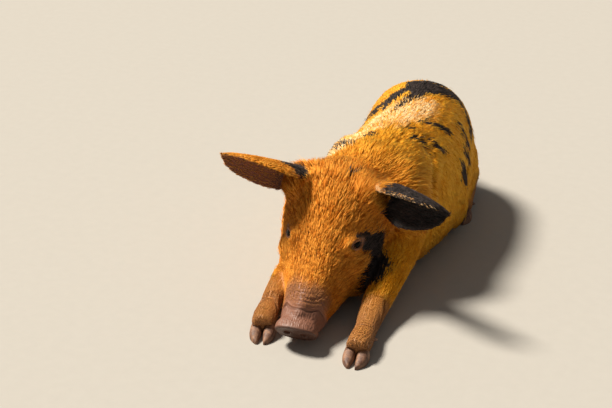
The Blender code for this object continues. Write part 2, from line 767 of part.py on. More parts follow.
def tail(rump, place, parts):
    """A thin tail that hangs down over the rump in one loose curl."""
    points = []
    steps = 9
    for i in range(steps + 1):
        t = i / steps
        curl = math.sin(2.1 * math.pi * max(0.0, t - 0.25))
        back = TAIL_STAND_OFF * min(1.0, 2.2 * t) - TAIL_SINK * (1 - curl)
        points.append(TAIL_ROOT + Vector((TAIL_CURL * curl, back, -TAIL_LENGTH * TAIL_FALL * t)))
    radii = np.linspace(TAIL_ROOT_RADIUS, TAIL_TIP_RADIUS, len(points))
    made = limb("tail", points, radii, parts, count=10, steps=2)
    wider = grown(rump, GAP, place)
    boolean(made, wider, "DIFFERENCE")
    drop(wider)
    keep_largest(made)


def body_nodes(legged, place, parts):
    legged = decimated(legged, BODY_DETAIL_FACES, "body_detail", place)
    cut_away(legged, Vector((0, 0, 0)), Vector((0, 0, -1)))
    coarse = copy_of(legged, "trunk_detail", place)
    legs = {}
    wide, narrow = leg_regions(place, 1.3 * GAP), leg_regions(place, 0.0)
    for name in narrow:
        legs[name] = copy_of(legged, name, place)
        boolean(legs[name], narrow[name], "INTERSECT")
        keep_largest(legs[name])
    for name in wide:
        boolean(coarse, wide[name], "DIFFERENCE")
    drop(legged, *wide.values(), *narrow.values())
    keep_largest(coarse)
    for label, side in (("left", 1), ("right", -1)):
        thigh = copy_of(coarse, "hindleg_upper_" + label, parts)
        region = thigh_region(side, place, 0.0)
        boolean(thigh, region, "INTERSECT")
        keep_largest(thigh)
        drop(region)
    for side in (1, -1):
        region = thigh_region(side, place, GAP)
        boolean(coarse, region, "DIFFERENCE")
        drop(region)
    keep_largest(coarse)
    forward = (HEAD.to_3x3() @ Vector((0, -1, 0))).normalized()
    neck_way = Vector((0, math.cos(NECK_CUT_TILT), math.sin(NECK_CUT_TILT)))
    neck = copy_of(coarse, "neck", parts)
    cut_away(neck, HEAD @ Vector((0, HEAD_BACK + GAP, 0)), forward)
    cut_away(neck, NECK_CUT, neck_way)
    torso = copy_of(coarse, "torso", parts)
    cut_away(torso, NECK_CUT + GAP * neck_way, -neck_way)
    cut_away(torso, Vector((0, RUMP_CUT, 0)), Vector((0, 1, 0)))
    rump = copy_of(coarse, "rump", parts)
    cut_away(rump, Vector((0, RUMP_CUT + GAP, 0)), Vector((0, -1, 0)))
    drop(coarse)
    tail(rump, place, parts)
    leg_nodes(legs, place, parts)


def leg_nodes(legs, place, parts):
    """Each foreleg parted above the wrist, with a dent where the cheek lies against it. The thighs are the hind legs'
    upper nodes."""
    for name in ("head", "jaw"):
        wider = grown(parts.objects[name], GAP, place)
        for side in ("left", "right"):
            boolean(legs["foreleg_" + side], wider, "DIFFERENCE")
            keep_largest(legs["foreleg_" + side])
        drop(wider)
    for name, points in (("foreleg_left", FORELEG_LEFT), ("foreleg_right", FORELEG_RIGHT)):
        limb_name, side = name.split("_")
        above, wrist = Vector(points[2]), Vector(points[3])
        way = (wrist - above).normalized()
        middle = above.lerp(wrist, 0.6)
        upper = copy_of(legs[name], f"{limb_name}_upper_{side}", parts)
        cut_away(upper, middle, way)
        lower = copy_of(legs[name], f"{limb_name}_lower_{side}", parts)
        cut_away(lower, middle + GAP * way, -way)
        fit_claws([lower], name, points, place, parts)
    for name, side in (("hindleg_left", 1), ("hindleg_right", -1)):
        limb_name, label = name.split("_")
        lower = copy_of(legs[name], f"{limb_name}_lower_{label}", parts)
        around = ("hindleg_upper_" + label, "torso", "rump")
        fleshes = [lower, *(parts.objects[node] for node in around)]
        fit_claws(fleshes, name, hind_leg_points(side), place, parts)
    drop(*legs.values())


# Whole piglet

def give_materials(parts):
    ginger = material("ginger_coat", GINGER, 0.75)
    pale = material("pale_coat", PALE, 0.75)
    pink = material("bare_skin", PINK, 0.55)
    dark = material("dark_eye", DARK, 0.08)
    grey = material("dark_ear", GREY, 0.7)
    horn = material("claw_horn", CLAW_PINK, 0.45)
    for obj in parts.objects:
        name = obj.name
        if "claw" in name:
            chosen = horn
        elif name.startswith("eye"):
            chosen = dark
        elif name == "snout":
            chosen = pink
        elif name == "ear_left":
            chosen = grey
        elif "lower" in name or name == "tail":
            chosen = pale
        else:
            chosen = ginger
        obj.data.materials.clear()
        obj.data.materials.append(chosen)
        obj.data.shade_smooth()
        obj.data.set_sharp_from_angle(angle=math.radians(40))


def centre_on_ground(parts):
    low = Vector((math.inf,) * 3)
    high = Vector((-math.inf,) * 3)
    for obj in parts.objects:
        for vert in obj.data.vertices:
            low = Vector(map(min, low, vert.co))
            high = Vector(map(max, high, vert.co))
    shift = Matrix.Translation(Vector((-(low.x + high.x) / 2, -(low.y + high.y) / 2, -low.z)))
    for obj in parts.objects:
        obj.data.transform(shift)


def main():
    clear_scene()
    parts = collection_named("piglet")
    place = collection_named("guides")
    flesh, legged = flesh_without_legs(place), flesh_with_legs(place)
    head_nodes(flesh, place, parts)
    body_nodes(legged, place, parts)
    drop(flesh, legged)
    give_materials(parts)
    centre_on_ground(parts)


main()
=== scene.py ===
"""The looks of a ginger piglet with black spots, lying on its belly with its chin on the ground.

One skin is drawn over the solids of flesh, and its lids, nostrils, lips and wrinkles are shaped. A short
bristly coat of tapered tufts is laid over it along the lie of the hair. Metres, +Z up. The piglet faces -Y,
and its left side is +X."""

import math

import bmesh
import bpy
import numpy as np
from bpy.props import FloatProperty, FloatVectorProperty, IntProperty, PointerProperty
from mathutils import Euler, Matrix, Vector
from mathutils.bvhtree import BVHTree
from mathutils.kdtree import KDTree


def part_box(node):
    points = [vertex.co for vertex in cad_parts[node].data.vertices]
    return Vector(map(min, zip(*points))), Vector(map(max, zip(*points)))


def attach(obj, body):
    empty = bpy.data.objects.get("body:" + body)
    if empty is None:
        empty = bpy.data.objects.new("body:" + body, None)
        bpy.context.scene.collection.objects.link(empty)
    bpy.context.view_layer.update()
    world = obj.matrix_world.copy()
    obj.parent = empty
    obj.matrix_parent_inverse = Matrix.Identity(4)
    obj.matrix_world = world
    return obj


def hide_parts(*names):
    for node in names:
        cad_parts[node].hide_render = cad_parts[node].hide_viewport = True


bl_info = {
    "name": "Lying piglet",
    "version": (1, 0, 0),
    "blender": (4, 5, 0),
    "location": "View3D > Sidebar > Piglet",
    "description": "Skin, coat, eyes and claws of a spotted ginger piglet",
    "category": "Object",
}

SEED = 20260

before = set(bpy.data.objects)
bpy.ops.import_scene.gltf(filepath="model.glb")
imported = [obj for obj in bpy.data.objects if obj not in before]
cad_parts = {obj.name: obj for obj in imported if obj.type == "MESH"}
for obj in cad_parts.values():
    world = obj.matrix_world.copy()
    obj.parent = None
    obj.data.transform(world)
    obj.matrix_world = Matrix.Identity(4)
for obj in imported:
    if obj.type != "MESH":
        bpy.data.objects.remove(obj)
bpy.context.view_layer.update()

# Nodes of the frame
HEAD_NODES = ("head", "jaw", "snout")
EARS = ("ear_left", "ear_right")
LEGS = tuple(f"{leg}_{part}_{side}" for leg in ("foreleg", "hindleg") for part in ("upper", "lower")
             for side in ("left", "right"))
FLESH = (*HEAD_NODES, *EARS, "neck", "torso", "rump", "tail", *LEGS)
EYES = {1: "eye_left", -1: "eye_right"}
CLAWS = tuple(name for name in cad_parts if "claw" in name)

# Head, in its own frame: across to its left, back from the snout's disc, up across the face
HEAD_YAW, HEAD_PITCH, HEAD_ROLL = math.radians(4), math.radians(19), math.radians(3)
EYE_BACK, EYE_UP = 0.1445, 0.0360
EYE_OUTWARD, EYE_UPWARD = math.radians(52), math.radians(24)
EYE_RADIUS = 0.0100
DISC_FRONT, DISC_TILT = -0.0035, math.radians(21)
DISC_HALF_WIDTH, DISC_HALF_HEIGHT = 0.0295, 0.0205
NOSTRIL_SPACING, NOSTRIL_WIDTH, NOSTRIL_HEIGHT, NOSTRIL_DEPTH = 0.0235, 0.0092, 0.0118, 0.0100
MOUTH_LINE = ((-0.030, -0.0160), (0.012, -0.0160), (0.035, -0.0190), (0.060, -0.0210), (0.080, -0.0190),
              (0.094, -0.0150))
LID_WIDTH, LID_HEIGHT, LID_THICKNESS = 0.0168, 0.0086, 0.0021
CREASE_BACK, CREASE_BEND = 0.0190, 30.0
WRINKLE_SPACING, RIB_SPACING, RIB_HEIGHT = 0.0062, 0.0034, 0.00017

# Ears, in the head's frame: a leaf whose hollow faces forward and whose upper edge rolls over
EAR_ROOT = {1: (0.0930, 0.2060, 0.0875), -1: (-0.0600, 0.2130, 0.0940)}
EAR_LENGTH, EAR_DROOP = 0.128, 0.012
EAR_WIDTH, EAR_SUNK = {1: 0.114, -1: 0.102}, {1: 0.028, -1: 0.022}
EAR_FORWARD = {1: math.radians(33), -1: math.radians(22)}
EAR_RISE = {1: math.radians(23.5), -1: math.radians(27)}
EAR_LEAN = {1: math.radians(-12), -1: math.radians(16)}
EAR_ROLL_OVER, EAR_OPENS = {1: math.radians(150), -1: math.radians(122)}, {1: 0.12, -1: 0.45}
EAR_CUP = math.radians(50)

# Where the nape's seams are evened out: from and to along Y, and where that fades in along Z
NAPE, NAPE_HEIGHT = (-0.125, -0.045), (0.125, 0.160)

# Behind this place along the head's axis, the skin lies under a long coat and has fewer faces
BODY_STARTS, THINNED_SHARE = 0.26, 0.76

# No skin and no tuft lies lower
SKIN_FLOOR, TUFT_FLOOR = 0.0003, 0.0004

# Sizes and colours that a user may change


def colour_property(name, description, red, green, blue):
    """A colour given as sRGB bytes."""
    linear = [((c / 255 + 0.055) / 1.055) ** 2.4 if c > 10 else c / 255 / 12.92 for c in (red, green, blue)]
    return FloatVectorProperty(
        name=name, description=description, subtype="COLOR", size=3, min=0, max=1, default=linear
    )


def length_property(name, description, default):
    return FloatProperty(
        name=name, description=description, default=default, min=0, unit="LENGTH", subtype="DISTANCE"
    )


class SkinSettings(bpy.types.PropertyGroup):
    voxel: length_property("Fineness", "Size of one step of the skin's surface", 0.0026)
    overlap: length_property("Overlap", "How far neighbouring solids are swollen into each other", 0.0004)
    wrinkle: length_property("Snout wrinkles", "Height of the folds across the top of the snout", 0.0007)
    crease: length_property("Snout crease", "Depth of the crease behind the snout's bare band", 0.0017)
    lip_groove: length_property("Mouth groove", "Depth of the line between the lips", 0.0020)
    bare: colour_property("Bare skin", "Snout's disc and other bare skin", 154, 104, 82)
    # Dark specks of the bare skin, also the colour of the painted shade on the disc's face, in the folds and
    # on the feet
    bare_dark: colour_property("Stained skin", "Dark specks and folds of the bare skin", 52, 35, 29)
    ear_inside: colour_property("Inside of the ear", "Bare skin in the ear's hollow", 112, 58, 40)


class CoatSettings(bpy.types.PropertyGroup):
    tufts: IntProperty(name="Tufts", description="Tufts of the whole coat", default=245000, min=1000)
    width: length_property("Tuft width", "Width of a body tuft at its widest", 0.0013)
    ginger: colour_property("Ginger", "Hair of the head", 230, 134, 18)
    # The deep colours darken the tufts towards their roots, partly the hair's own tone and partly painted
    # shade between the hairs; the light colours brighten their tips, partly a painted highlight
    ginger_deep: colour_property("Deep ginger", "Roots and darker hairs of the head", 126, 56, 4)
    ginger_light: colour_property("Light ginger", "Tips and paler hairs of the head", 255, 190, 84)
    gold: colour_property("Gold", "Hair of the body", 248, 168, 14)
    gold_deep: colour_property("Deep gold", "Roots and darker hairs of the body", 176, 96, 4)
    gold_light: colour_property("Light gold", "Tips and paler hairs of the body", 255, 214, 86)
    # Pale cream of the loin and the side of the neck, partly the coat's own colour and partly a painted
    # highlight where they face the light
    pale: colour_property("Pale cream", "Loin and side of the neck", 255, 236, 190)
    face: colour_property("Sandy", "Short hairs of the snout and feet", 174, 120, 78)
    black: colour_property("Black", "Spots", 16, 14, 15)
    black_tip: colour_property("Grey tips", "Tips of the black hairs", 112, 97, 92)


class EyeSettings(bpy.types.PropertyGroup):
    iris: colour_property("Iris", "Brown of the iris", 44, 22, 10)
    iris_edge: colour_property("Iris edge", "Dark ring of the iris", 12, 7, 5)
    white: colour_property("White of the eye", "Its corners, tinged with brown", 46, 29, 23)
    lash: length_property("Lash length", "Length of the longest lash", 0.0085)


class ClawSettings(bpy.types.PropertyGroup):
    horn: colour_property("Horn", "Claws near the skin", 92, 60, 46)
    horn_tip: colour_property("Horn tip", "Worn end of the claws", 158, 116, 88)


class StageSettings(bpy.types.PropertyGroup):
    floor: colour_property("Floor", "Plain pale floor", 178, 174, 167)
    backdrop: colour_property("Backdrop", "What the camera sees beyond the floor", 232, 220, 201)
    key: FloatProperty(name="Key light", description="Sun from the side and behind", default=6.3)
    fill: FloatProperty(name="Fill light", description="Soft light all round", default=0.17)


def settings(name):
    return getattr(bpy.context.scene, "piglet_" + name)


# Small helpers

def smoothstep(low, high, value):
    t = np.clip((value - low) / (high - low), 0.0, 1.0)
    return t * t * (3 - 2 * t)


def ridge(value, middle, width):
    """1 at the middle, falling off to 0 on both sides."""
    return np.exp(-(((value - middle) / width) ** 2))


def unit(vectors):
    return vectors / np.maximum(np.linalg.norm(vectors, axis=-1, keepdims=True), 1e-12)


def coordinates(mesh):
    places = np.empty(len(mesh.vertices) * 3, np.float32)
    mesh.vertices.foreach_get("co", places)
    return places.reshape(-1, 3).astype(float)


def normals(mesh):
    found = np.empty(len(mesh.vertices) * 3, np.float32)
    mesh.vertex_normals.foreach_get("vector", found)
    return found.reshape(-1, 3).astype(float)


def place_vertices(mesh, places):
    mesh.vertices.foreach_set("co", np.ascontiguousarray(places, np.float32).ravel())
    mesh.update()


def edges_of(mesh):
    pairs = np.empty(len(mesh.edges) * 2, np.int32)
    mesh.edges.foreach_get("vertices", pairs)
    return pairs.reshape(-1, 2)


def triangles_of(mesh):
    mesh.calc_loop_triangles()
    corners = np.empty(len(mesh.loop_triangles) * 3, np.int32)
    mesh.loop_triangles.foreach_get("vertices", corners)
    return corners.reshape(-1, 3)


def averaged(values, pairs, steps, share=0.5):
    """Values at vertices, each drawn towards the mean of its neighbours, over and over."""
    values = np.array(values, float)
    flat = values.reshape(len(values), -1)
    count = np.maximum(np.bincount(pairs.ravel(), minlength=len(flat)), 1)[:, None]
    for _ in range(steps):
        total = np.empty_like(flat)
        for k in range(flat.shape[1]):
            column = flat[:, k]
            total[:, k] = np.bincount(pairs[:, 0], column[pairs[:, 1]], len(flat))
            total[:, k] += np.bincount(pairs[:, 1], column[pairs[:, 0]], len(flat))
        flat += share * (total / count - flat)
    return flat.reshape(values.shape)


def write_attribute(mesh, name, values):
    values = np.ascontiguousarray(values, np.float32)
    kind, field = ("FLOAT_VECTOR", "vector") if values.ndim == 2 else ("FLOAT", "value")
    attribute = mesh.attributes.get(name) or mesh.attributes.new(name, kind, "POINT")
    attribute.data.foreach_set(field, values.ravel())


def read_attribute(mesh, name):
    attribute = mesh.attributes[name]
    wide = attribute.data_type == "FLOAT_VECTOR"
    values = np.empty(len(mesh.vertices) * (3 if wide else 1), np.float32)
    attribute.data.foreach_get("vector" if wide else "value", values)
    return values.reshape(-1, 3).astype(float) if wide else values.astype(float)


def soft_noise(places, scale, seed):
    """Smooth noise from -1 to 1: a sum of sine waves in directions drawn from the seed."""
    rng = np.random.default_rng(seed)
    total = np.zeros(len(places))
    waves = 9
    for _ in range(waves):
        direction = unit(rng.normal(size=3))
        frequency = rng.uniform(0.6, 1.7) * 2 * math.pi / scale
        total += np.sin(places @ direction * frequency + rng.uniform(0, 2 * math.pi))
    return np.clip(total / math.sqrt(waves), -1.6, 1.6) / 1.6


def deselect_all():
    for obj in bpy.context.selected_objects:
        obj.select_set(False)


def make_active(obj):
    deselect_all()
    obj.select_set(True)
    bpy.context.view_layer.objects.active = obj


def apply_modifiers(obj):
    make_active(obj)
    for modifier in list(obj.modifiers):
        bpy.ops.object.modifier_apply(modifier=modifier.name)


def new_object(name, mesh):
    made = bpy.data.objects.new(name, mesh)
    bpy.context.scene.collection.objects.link(made)
    return made


def finish_piece(obj, finish, replaced=()):
    """Gives a finished piece its material and slot, and lets it ride with the body."""
    obj.data.materials.clear()
    obj.data.materials.append(finish)
    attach(obj, "root")
    if replaced:
        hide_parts(*replaced)


# Frames of the head and the eyes

def centre_of(node):
    low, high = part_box(node)
    return (low + high) / 2


def rotation(angle, axis):
    return Matrix.Rotation(angle, 4, axis)


def head_frame():
    turn = rotation(HEAD_YAW, "Z") @ rotation(HEAD_PITCH, "X") @ rotation(HEAD_ROLL, "Y")
    between_eyes = (centre_of(EYES[1]) + centre_of(EYES[-1])) / 2
    origin = between_eyes - turn.to_3x3() @ Vector((0, EYE_BACK, EYE_UP))
    return Matrix.Translation(origin) @ turn


HEAD = head_frame()

# The photo's camera, placed from the middle of the snout's disc
CAMERA_PLACE = HEAD.translation + Vector((0.5511, -1.3985, 0.8895))
CAMERA_TILT, CAMERA_TURN = math.radians(65), math.radians(21)
CAMERA_AXES = Euler((CAMERA_TILT, 0, CAMERA_TURN)).to_matrix()
LENS, SENSOR = 76.47, 36.0
# In pixels
PHOTO_WIDTH, PHOTO_HEIGHT = 612, 408
FOCAL_PIXELS = PHOTO_WIDTH * LENS / SENSOR


def eye_frame(side):
    """The eye looks along its own -Y."""
    turn = HEAD.to_3x3().to_4x4() @ rotation(side * EYE_OUTWARD, "Z") @ rotation(-EYE_UPWARD, "X")
    return Matrix.Translation(centre_of(EYES[side])) @ turn


def ear_frame(side):
    """The ear runs out along its own X, its hollow faces -Y and its rolled edge is up."""
    turn = rotation(-side * EAR_FORWARD[side], "Z") @ rotation(-side * EAR_RISE[side], "Y")
    return HEAD @ Matrix.Translation(EAR_ROOT[side]) @ turn @ rotation(EAR_LEAN[side], "X")


def into(matrix, places):
    """World places in the frame of the matrix."""
    back = np.array(matrix.inverted())
    return places @ back[:3, :3].T + back[:3, 3]


def out_of(matrix, places):
    ahead = np.array(matrix)
    return places @ ahead[:3, :3].T + ahead[:3, 3]


def turned(matrix, directions):
    return directions @ np.array(matrix.to_3x3()).T


# Skin

def swollen_copy(node, overlap):
    """A welded copy of a solid, a little larger, so that neighbours run into each other."""
    mesh = bmesh.new()
    mesh.from_mesh(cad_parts[node].data)
    bmesh.ops.remove_doubles(mesh, verts=mesh.verts, dist=1e-5)
    mesh.normal_update()
    for vert, move in [(vert, vert.normal * overlap) for vert in mesh.verts]:
        vert.co += move
    data = bpy.data.meshes.new(node + "_skin")
    mesh.to_mesh(data)
    mesh.free()
    return new_object(node + "_skin", data)


def one_surface(voxel, overlap):
    """All the solids of flesh, and the eyeballs that fill their sockets, as one surface."""
    copies = [swollen_copy(node, overlap) for node in (*FLESH, *EYES.values())]
    make_active(copies[0])
    for copy in copies:
        copy.select_set(True)
    bpy.ops.object.join()
    skin = bpy.context.view_layer.objects.active
    skin.name = "skin"
    skin.data.name = "skin"
    fuse = skin.modifiers.new("Fuse", "REMESH")
    fuse.mode = "VOXEL"
    fuse.voxel_size = voxel
    apply_modifiers(skin)
    keep_largest(skin.data)
    return skin


def keep_largest(mesh):
    """Removes what a fused surface holds inside it, apart from its outer shell."""
    pairs = edges_of(mesh)
    label = np.arange(len(mesh.vertices))
    while True:
        lowest = label.copy()
        np.minimum.at(lowest, pairs[:, 0], label[pairs[:, 1]])
        np.minimum.at(lowest, pairs[:, 1], label[pairs[:, 0]])
        lowest = lowest[lowest]
        if (lowest == label).all():
            break
        label = lowest
    sizes = np.bincount(label)
    spare = label != sizes.argmax()
    if spare.any():
        edit = bmesh.new()
        edit.from_mesh(mesh)
        edit.verts.ensure_lookup_table()
        bmesh.ops.delete(edit, geom=[edit.verts[i] for i in np.nonzero(spare)[0]], context="VERTS")
        edit.to_mesh(mesh)
        edit.free()


def smooth_skin(mesh):
    """Takes out the steps of the voxels and the seams of the solids, least on the disc and the ears."""
    places = coordinates(mesh)
    pairs = edges_of(mesh)
    head = into(HEAD, places)
    keep = smoothstep(0.022, 0.006, head[:, 1])
    for node in EARS:
        low, high = (np.array(corner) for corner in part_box(node))
        inside = ((places > low - 0.002) & (places < high + 0.002)).all(axis=1)
        keep = np.maximum(keep, 0.8 * inside)
    keep = averaged(keep, pairs, 6)[:, None]
    for _ in range(9):
        smoother = averaged(places, pairs, 1, 0.6)
        smoother = averaged(smoother, pairs, 1, -0.62)
        places = places + (1 - 0.75 * keep) * (smoother - places)
    creases = averaged(places, pairs, 5, 0.5)
    places = places + (1 - keep) * (creases - places)
    even = averaged(places, pairs, 60, 0.7)
    nape = smoothstep(NAPE[0] - 0.03, NAPE[0] + 0.01, places[:, 1])
    nape = nape * smoothstep(NAPE[1] + 0.03, NAPE[1], places[:, 1]) * smoothstep(*NAPE_HEIGHT, places[:, 2])
    places = places + (1 - keep) * nape[:, None] * (even - places)
    place_vertices(mesh, places)


def refine(mesh, near):
    """Splits the faces whose middles are marked by the test in four."""
    edit = bmesh.new()
    edit.from_mesh(mesh)
    middles = np.array([face.calc_center_median() for face in edit.faces])
    chosen = near(middles)
    edges = {edge for face, wanted in zip(edit.faces, chosen) if wanted for edge in face.edges}
    bmesh.ops.subdivide_edges(edit, edges=list(edges), cuts=1, use_grid_fill=True)
    edit.to_mesh(mesh)
    edit.free()


def near_face_details(middles):
    head = into(HEAD, middles)
    snout = (head[:, 1] < 0.046) & (head[:, 2] > -0.050)
    line = np.abs(head[:, 2] - mouth_height(head[:, 1])) < 0.006
    mouth = (head[:, 1] < 0.102) & line
    return snout | mouth | near_eyes(middles, 0.023)


def near_fine_details(middles):
    head = into(HEAD, middles)
    band = (behind_crease(head) < 0.004) & (head[:, 2] > -0.004) & (head[:, 1] > DISC_FRONT - 0.0085)
    nostril = np.hypot(np.abs(head[:, 0]) - NOSTRIL_SPACING / 2, head[:, 2]) < 0.009
    return band | (nostril & (head[:, 1] < 0.004)) | near_eyes(middles, 0.0145)


def near_eyes(middles, reach):
    found = np.zeros(len(middles), bool)
    for side in EYES:
        found |= np.linalg.norm(middles - np.array(centre_of(EYES[side])), axis=1) < reach
    return found


def mouth_height(back):
    line = np.array(MOUTH_LINE)
    return np.interp(back, line[:, 0], line[:, 1])


def shape_lids(places, side):
    """Lids that bulge over the eyeball, with an oval gap between them and a crease above."""
    matrix = eye_frame(side)
    local = into(matrix, places)
    distance = np.linalg.norm(local, axis=1)
    across, up = local[:, 0] / (LID_WIDTH / 2), local[:, 2] / (LID_HEIGHT / 2)
    up = up + 0.12 * across * side
    ring = np.hypot(across, up * (1 + 0.18 * np.abs(across)))
    lid = EYE_RADIUS + LID_THICKNESS
    depth = EYE_RADIUS - 0.0016
    reach = depth + (lid + 0.0003 - depth) * smoothstep(0.90, 1.10, ring)
    crease = ridge(ring, 1.72, 0.14) * smoothstep(0.0, 0.5, up)
    under = ridge(ring, 1.85, 0.18) * smoothstep(-0.1, -0.6, up)
    brow = ridge(ring, 2.15, 0.22) * smoothstep(0.1, 0.7, up)
    reach = reach + 0.0010 * smoothstep(1.1, 2.2, ring) - 0.0013 * crease - 0.0008 * under + 0.0011 * brow
    share = smoothstep(2.5, 1.45, ring) * (local[:, 1] < 0.002) * (distance < 0.024)
    target = local / np.maximum(distance, 1e-9)[:, None] * reach[:, None]
    moved = local + share[:, None] * (target - local)
    return np.where((share > 0)[:, None], out_of(matrix, moved), places)


def shape_disc(places):
    """A flat face with a raised rim, and two deep nostrils that each have a lip."""
    across, back, up = into(HEAD, places).T
    face = DISC_FRONT - math.tan(DISC_TILT) * up
    ring = (np.abs(across / DISC_HALF_WIDTH) ** 2.3 + np.abs(up / DISC_HALF_HEIGHT) ** 2.2) ** (1 / 2.25)
    rim = -0.0009 * ridge(ring, 0.86, 0.075) + 0.0006 * ridge(ring, 0, 0.5)
    rounding = 0.0050 * smoothstep(0.90, 1.06, ring) ** 1.6
    on_face = smoothstep(1.06, 0.98, ring) * (back < face + 0.006) * (back > face - 0.004)
    back = back + on_face * (face + rim + rounding - back)
    for side in EYES:
        rise = (up + 0.001) / (NOSTRIL_HEIGHT / 2)
        lean = (across - side * NOSTRIL_SPACING / 2) / (NOSTRIL_WIDTH / 2) + 0.125 * side * rise
        hole = np.hypot(lean, rise)
        pit = NOSTRIL_DEPTH * (1 - smoothstep(0.55, 1.0, hole)) - 0.0008 * ridge(hole, 1.25, 0.16)
        back = np.where((hole < 1.8) & (back < face + 0.004), back + pit, back)
    return out_of(HEAD, np.stack([across, back, up], axis=1))


def behind_crease(head):
    """How far a place in the head's frame lies behind the crease that ends the snout's bare band."""
    return head[:, 1] - CREASE_BACK - CREASE_BEND * np.minimum(head[:, 0] ** 2, 0.0005)


def fold_heights(places, chosen):
    """Height of the snout's wrinkles, the mouth's groove and lips, and the folds of the body."""
    head = into(HEAD, places)
    across, back, up = head.T
    behind = behind_crease(head)
    top = smoothstep(-0.010, 0.006, up) * (back < 0.09)
    wander = 0.0016 * soft_noise(head * [0.5, 1, 1], 0.02, 5)
    wave = np.sin(2 * math.pi * (behind + wander) / WRINKLE_SPACING) + 0.35 * soft_noise(head, 0.004, 6)
    height = chosen.wrinkle * wave * top
    height = height * smoothstep(0.001, 0.004, behind) * smoothstep(0.045, 0.006, behind)
    wobble = across + 0.0016 * soft_noise(head, 0.010, 7)
    ribs = np.sin(2 * math.pi * wobble / RIB_SPACING) + 1.2 * soft_noise(head, 0.0035, 8)
    height = height + RIB_HEIGHT * ribs * top * smoothstep(0.0, -0.003, behind) * (back < 0.03)
    height = height - chosen.crease * top * ridge(behind, 0, 0.0023)
    height = height + 0.5 * chosen.crease * top * ridge(behind, 0.005, 0.0030)
    line = np.abs(up - mouth_height(back))
    mouth = smoothstep(0.100, 0.088, back) * (up < 0.002)
    height = height - chosen.lip_groove * mouth * ridge(line, 0, 0.0011)
    height = height + 0.0008 * mouth * ridge(line, 0.0036, 0.0016)
    for line, depth, width in BODY_FOLDS.values():
        gap = distance_to(places, line)
        height = height - depth * ridge(gap, 0, width) + 0.4 * depth * ridge(gap, 2 * width, width)
    return height


# Shares of a triangle's three corners at which the solids are sampled
SAMPLES = np.array([(1, 1, 1), (4, 1, 1), (1, 4, 1), (1, 1, 4), (2, 2, 0.2), (0.2, 2, 2), (2, 0.2, 2)])


def node_labels(places):
    """For each place, the index in FLESH of the solid that it lies on."""
    samples, owners = [], []
    for index, node in enumerate(FLESH):
        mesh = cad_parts[node].data
        triangles = coordinates(mesh)[triangles_of(mesh)]
        shares = SAMPLES / SAMPLES.sum(axis=1, keepdims=True)
        inner = np.einsum("sc,tcx->tsx", shares, triangles).reshape(-1, 3)
        samples.append(inner)
        owners.append(np.full(len(inner), index))
    samples, owners = np.concatenate(samples), np.concatenate(owners)
    tree = KDTree(len(samples))
    for i, sample in enumerate(samples):
        tree.insert(sample, i)
    tree.balance()
    return owners[[tree.find(place)[1] for place in places]]


def on_ear(side, places):
    """How far along the ear each place is, from 0 to 1, how far across, from -1 at the lower edge to 1 at
    the rolled one, and how far it stands inside the leaf's middle surface."""
    local = into(ear_frame(side), places)
    along = (side * local[:, 0] + EAR_SUNK[side]) / EAR_LENGTH
    inside = np.clip(along, 0, 0.995)
    half = EAR_WIDTH[side] / 2 * (0.72 + 0.28 * np.minimum(1, inside / 0.25))
    half = half * (0.86 + 0.66 * inside) * (1 - inside) ** 0.58
    up = local[:, 2] + EAR_DROOP * along**2
    bend = np.where(up > 0, EAR_ROLL_OVER[side] * (1 - EAR_OPENS[side] * inside), EAR_CUP)
    radius = half / bend
    turn = np.arctan2(up, local[:, 1] + radius)
    return along, turn / bend, radius - np.hypot(up, local[:, 1] + radius)


# Lie of the coat

def ear_axis(side):
    """Root and tip of an ear."""
    matrix = ear_frame(side)
    tip = matrix @ Vector((side * (EAR_LENGTH - EAR_SUNK[side]), 0, 0))
    return np.array(matrix.translation), np.array(tip)


def lie_of(node, places):
    """Which way the hair lies on a solid, before it is laid flat on the skin and evened out."""
    head = into(HEAD, places)
    side = np.sign(places[:, 0] - centre_of("torso").x)
    low, high = (np.array(corner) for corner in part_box("torso"))
    middle = (low + high) / 2
    flank = np.abs(places[:, 0] - middle[0]) / (high[0] - low[0]) * 2
    if node in HEAD_NODES:
        cheek = smoothstep(0.03, -0.03, head[:, 2])
        local = np.stack([head[:, 0] * 9, np.ones(len(places)), 0.25 - 0.75 * cheek], axis=1)
        ways = turned(HEAD, local)
        for eye in EYES.values():
            away = places - np.array(centre_of(eye))
            distance = np.linalg.norm(away, axis=1)[:, None]
            ways = ways + 1.6 * ridge(distance, 0, 0.018) * away / distance
        return ways
    if node in EARS:
        root, tip = ear_axis(1 if node == EARS[0] else -1)
        return np.tile(unit(tip - root), (len(places), 1))
    if node == "neck":
        return np.stack([0.3 * side * flank, np.full(len(places), 1.0), -1.1 * flank**1.5], axis=1)
    if node == "torso":
        shoulder = smoothstep(low[1] + 0.10, low[1], places[:, 1])
        back = 0.75 - 0.35 * flank + 0.2 * shoulder
        return np.stack([0.5 * side * flank, back, -1.25 * flank**1.5], axis=1)
    if node == "rump":
        return np.stack([0.5 * side * flank, np.full(len(places), 0.7), -1.1 * flank - 0.25], axis=1)
    if node == "tail":
        return np.tile([0.0, 0.25, -1.0], (len(places), 1))
    leg, part, name = node.split("_")
    claw = (centre_of(f"{leg}_{name}_claw_inner") + centre_of(f"{leg}_{name}_claw_outer")) / 2
    lower = centre_of(f"{leg}_lower_{name}")
    if part == "lower":
        return np.tile(np.array(claw - lower), (len(places), 1)) / (claw - lower).length
    if leg == "foreleg":
        way = lower - centre_of(node)
        return np.tile(np.array(way), (len(places), 1)) / way.length
    return np.tile([0.0, 0.35, -1.0], (len(places), 1))


HAIR_LENGTH = {"head": 0.013, "jaw": 0.009, "snout": 0.002, "ear": 0.0065, "neck": 0.019, "torso": 0.0165,
               "rump": 0.0155, "tail": 0.012, "foreleg_upper": 0.012, "foreleg_lower": 0.0065,
               "hindleg_upper": 0.0145, "hindleg_lower": 0.0065}
# How far back on the head a length of hair is reached
HEAD_HAIR = ((0.02, 0.0030), (0.06, 0.0070), (0.13, 0.0130), (0.20, 0.0190), (0.24, 0.0195))
# Depth of the lying coat as a share of its hair's length
COAT_DEPTH_SHARE = 0.13


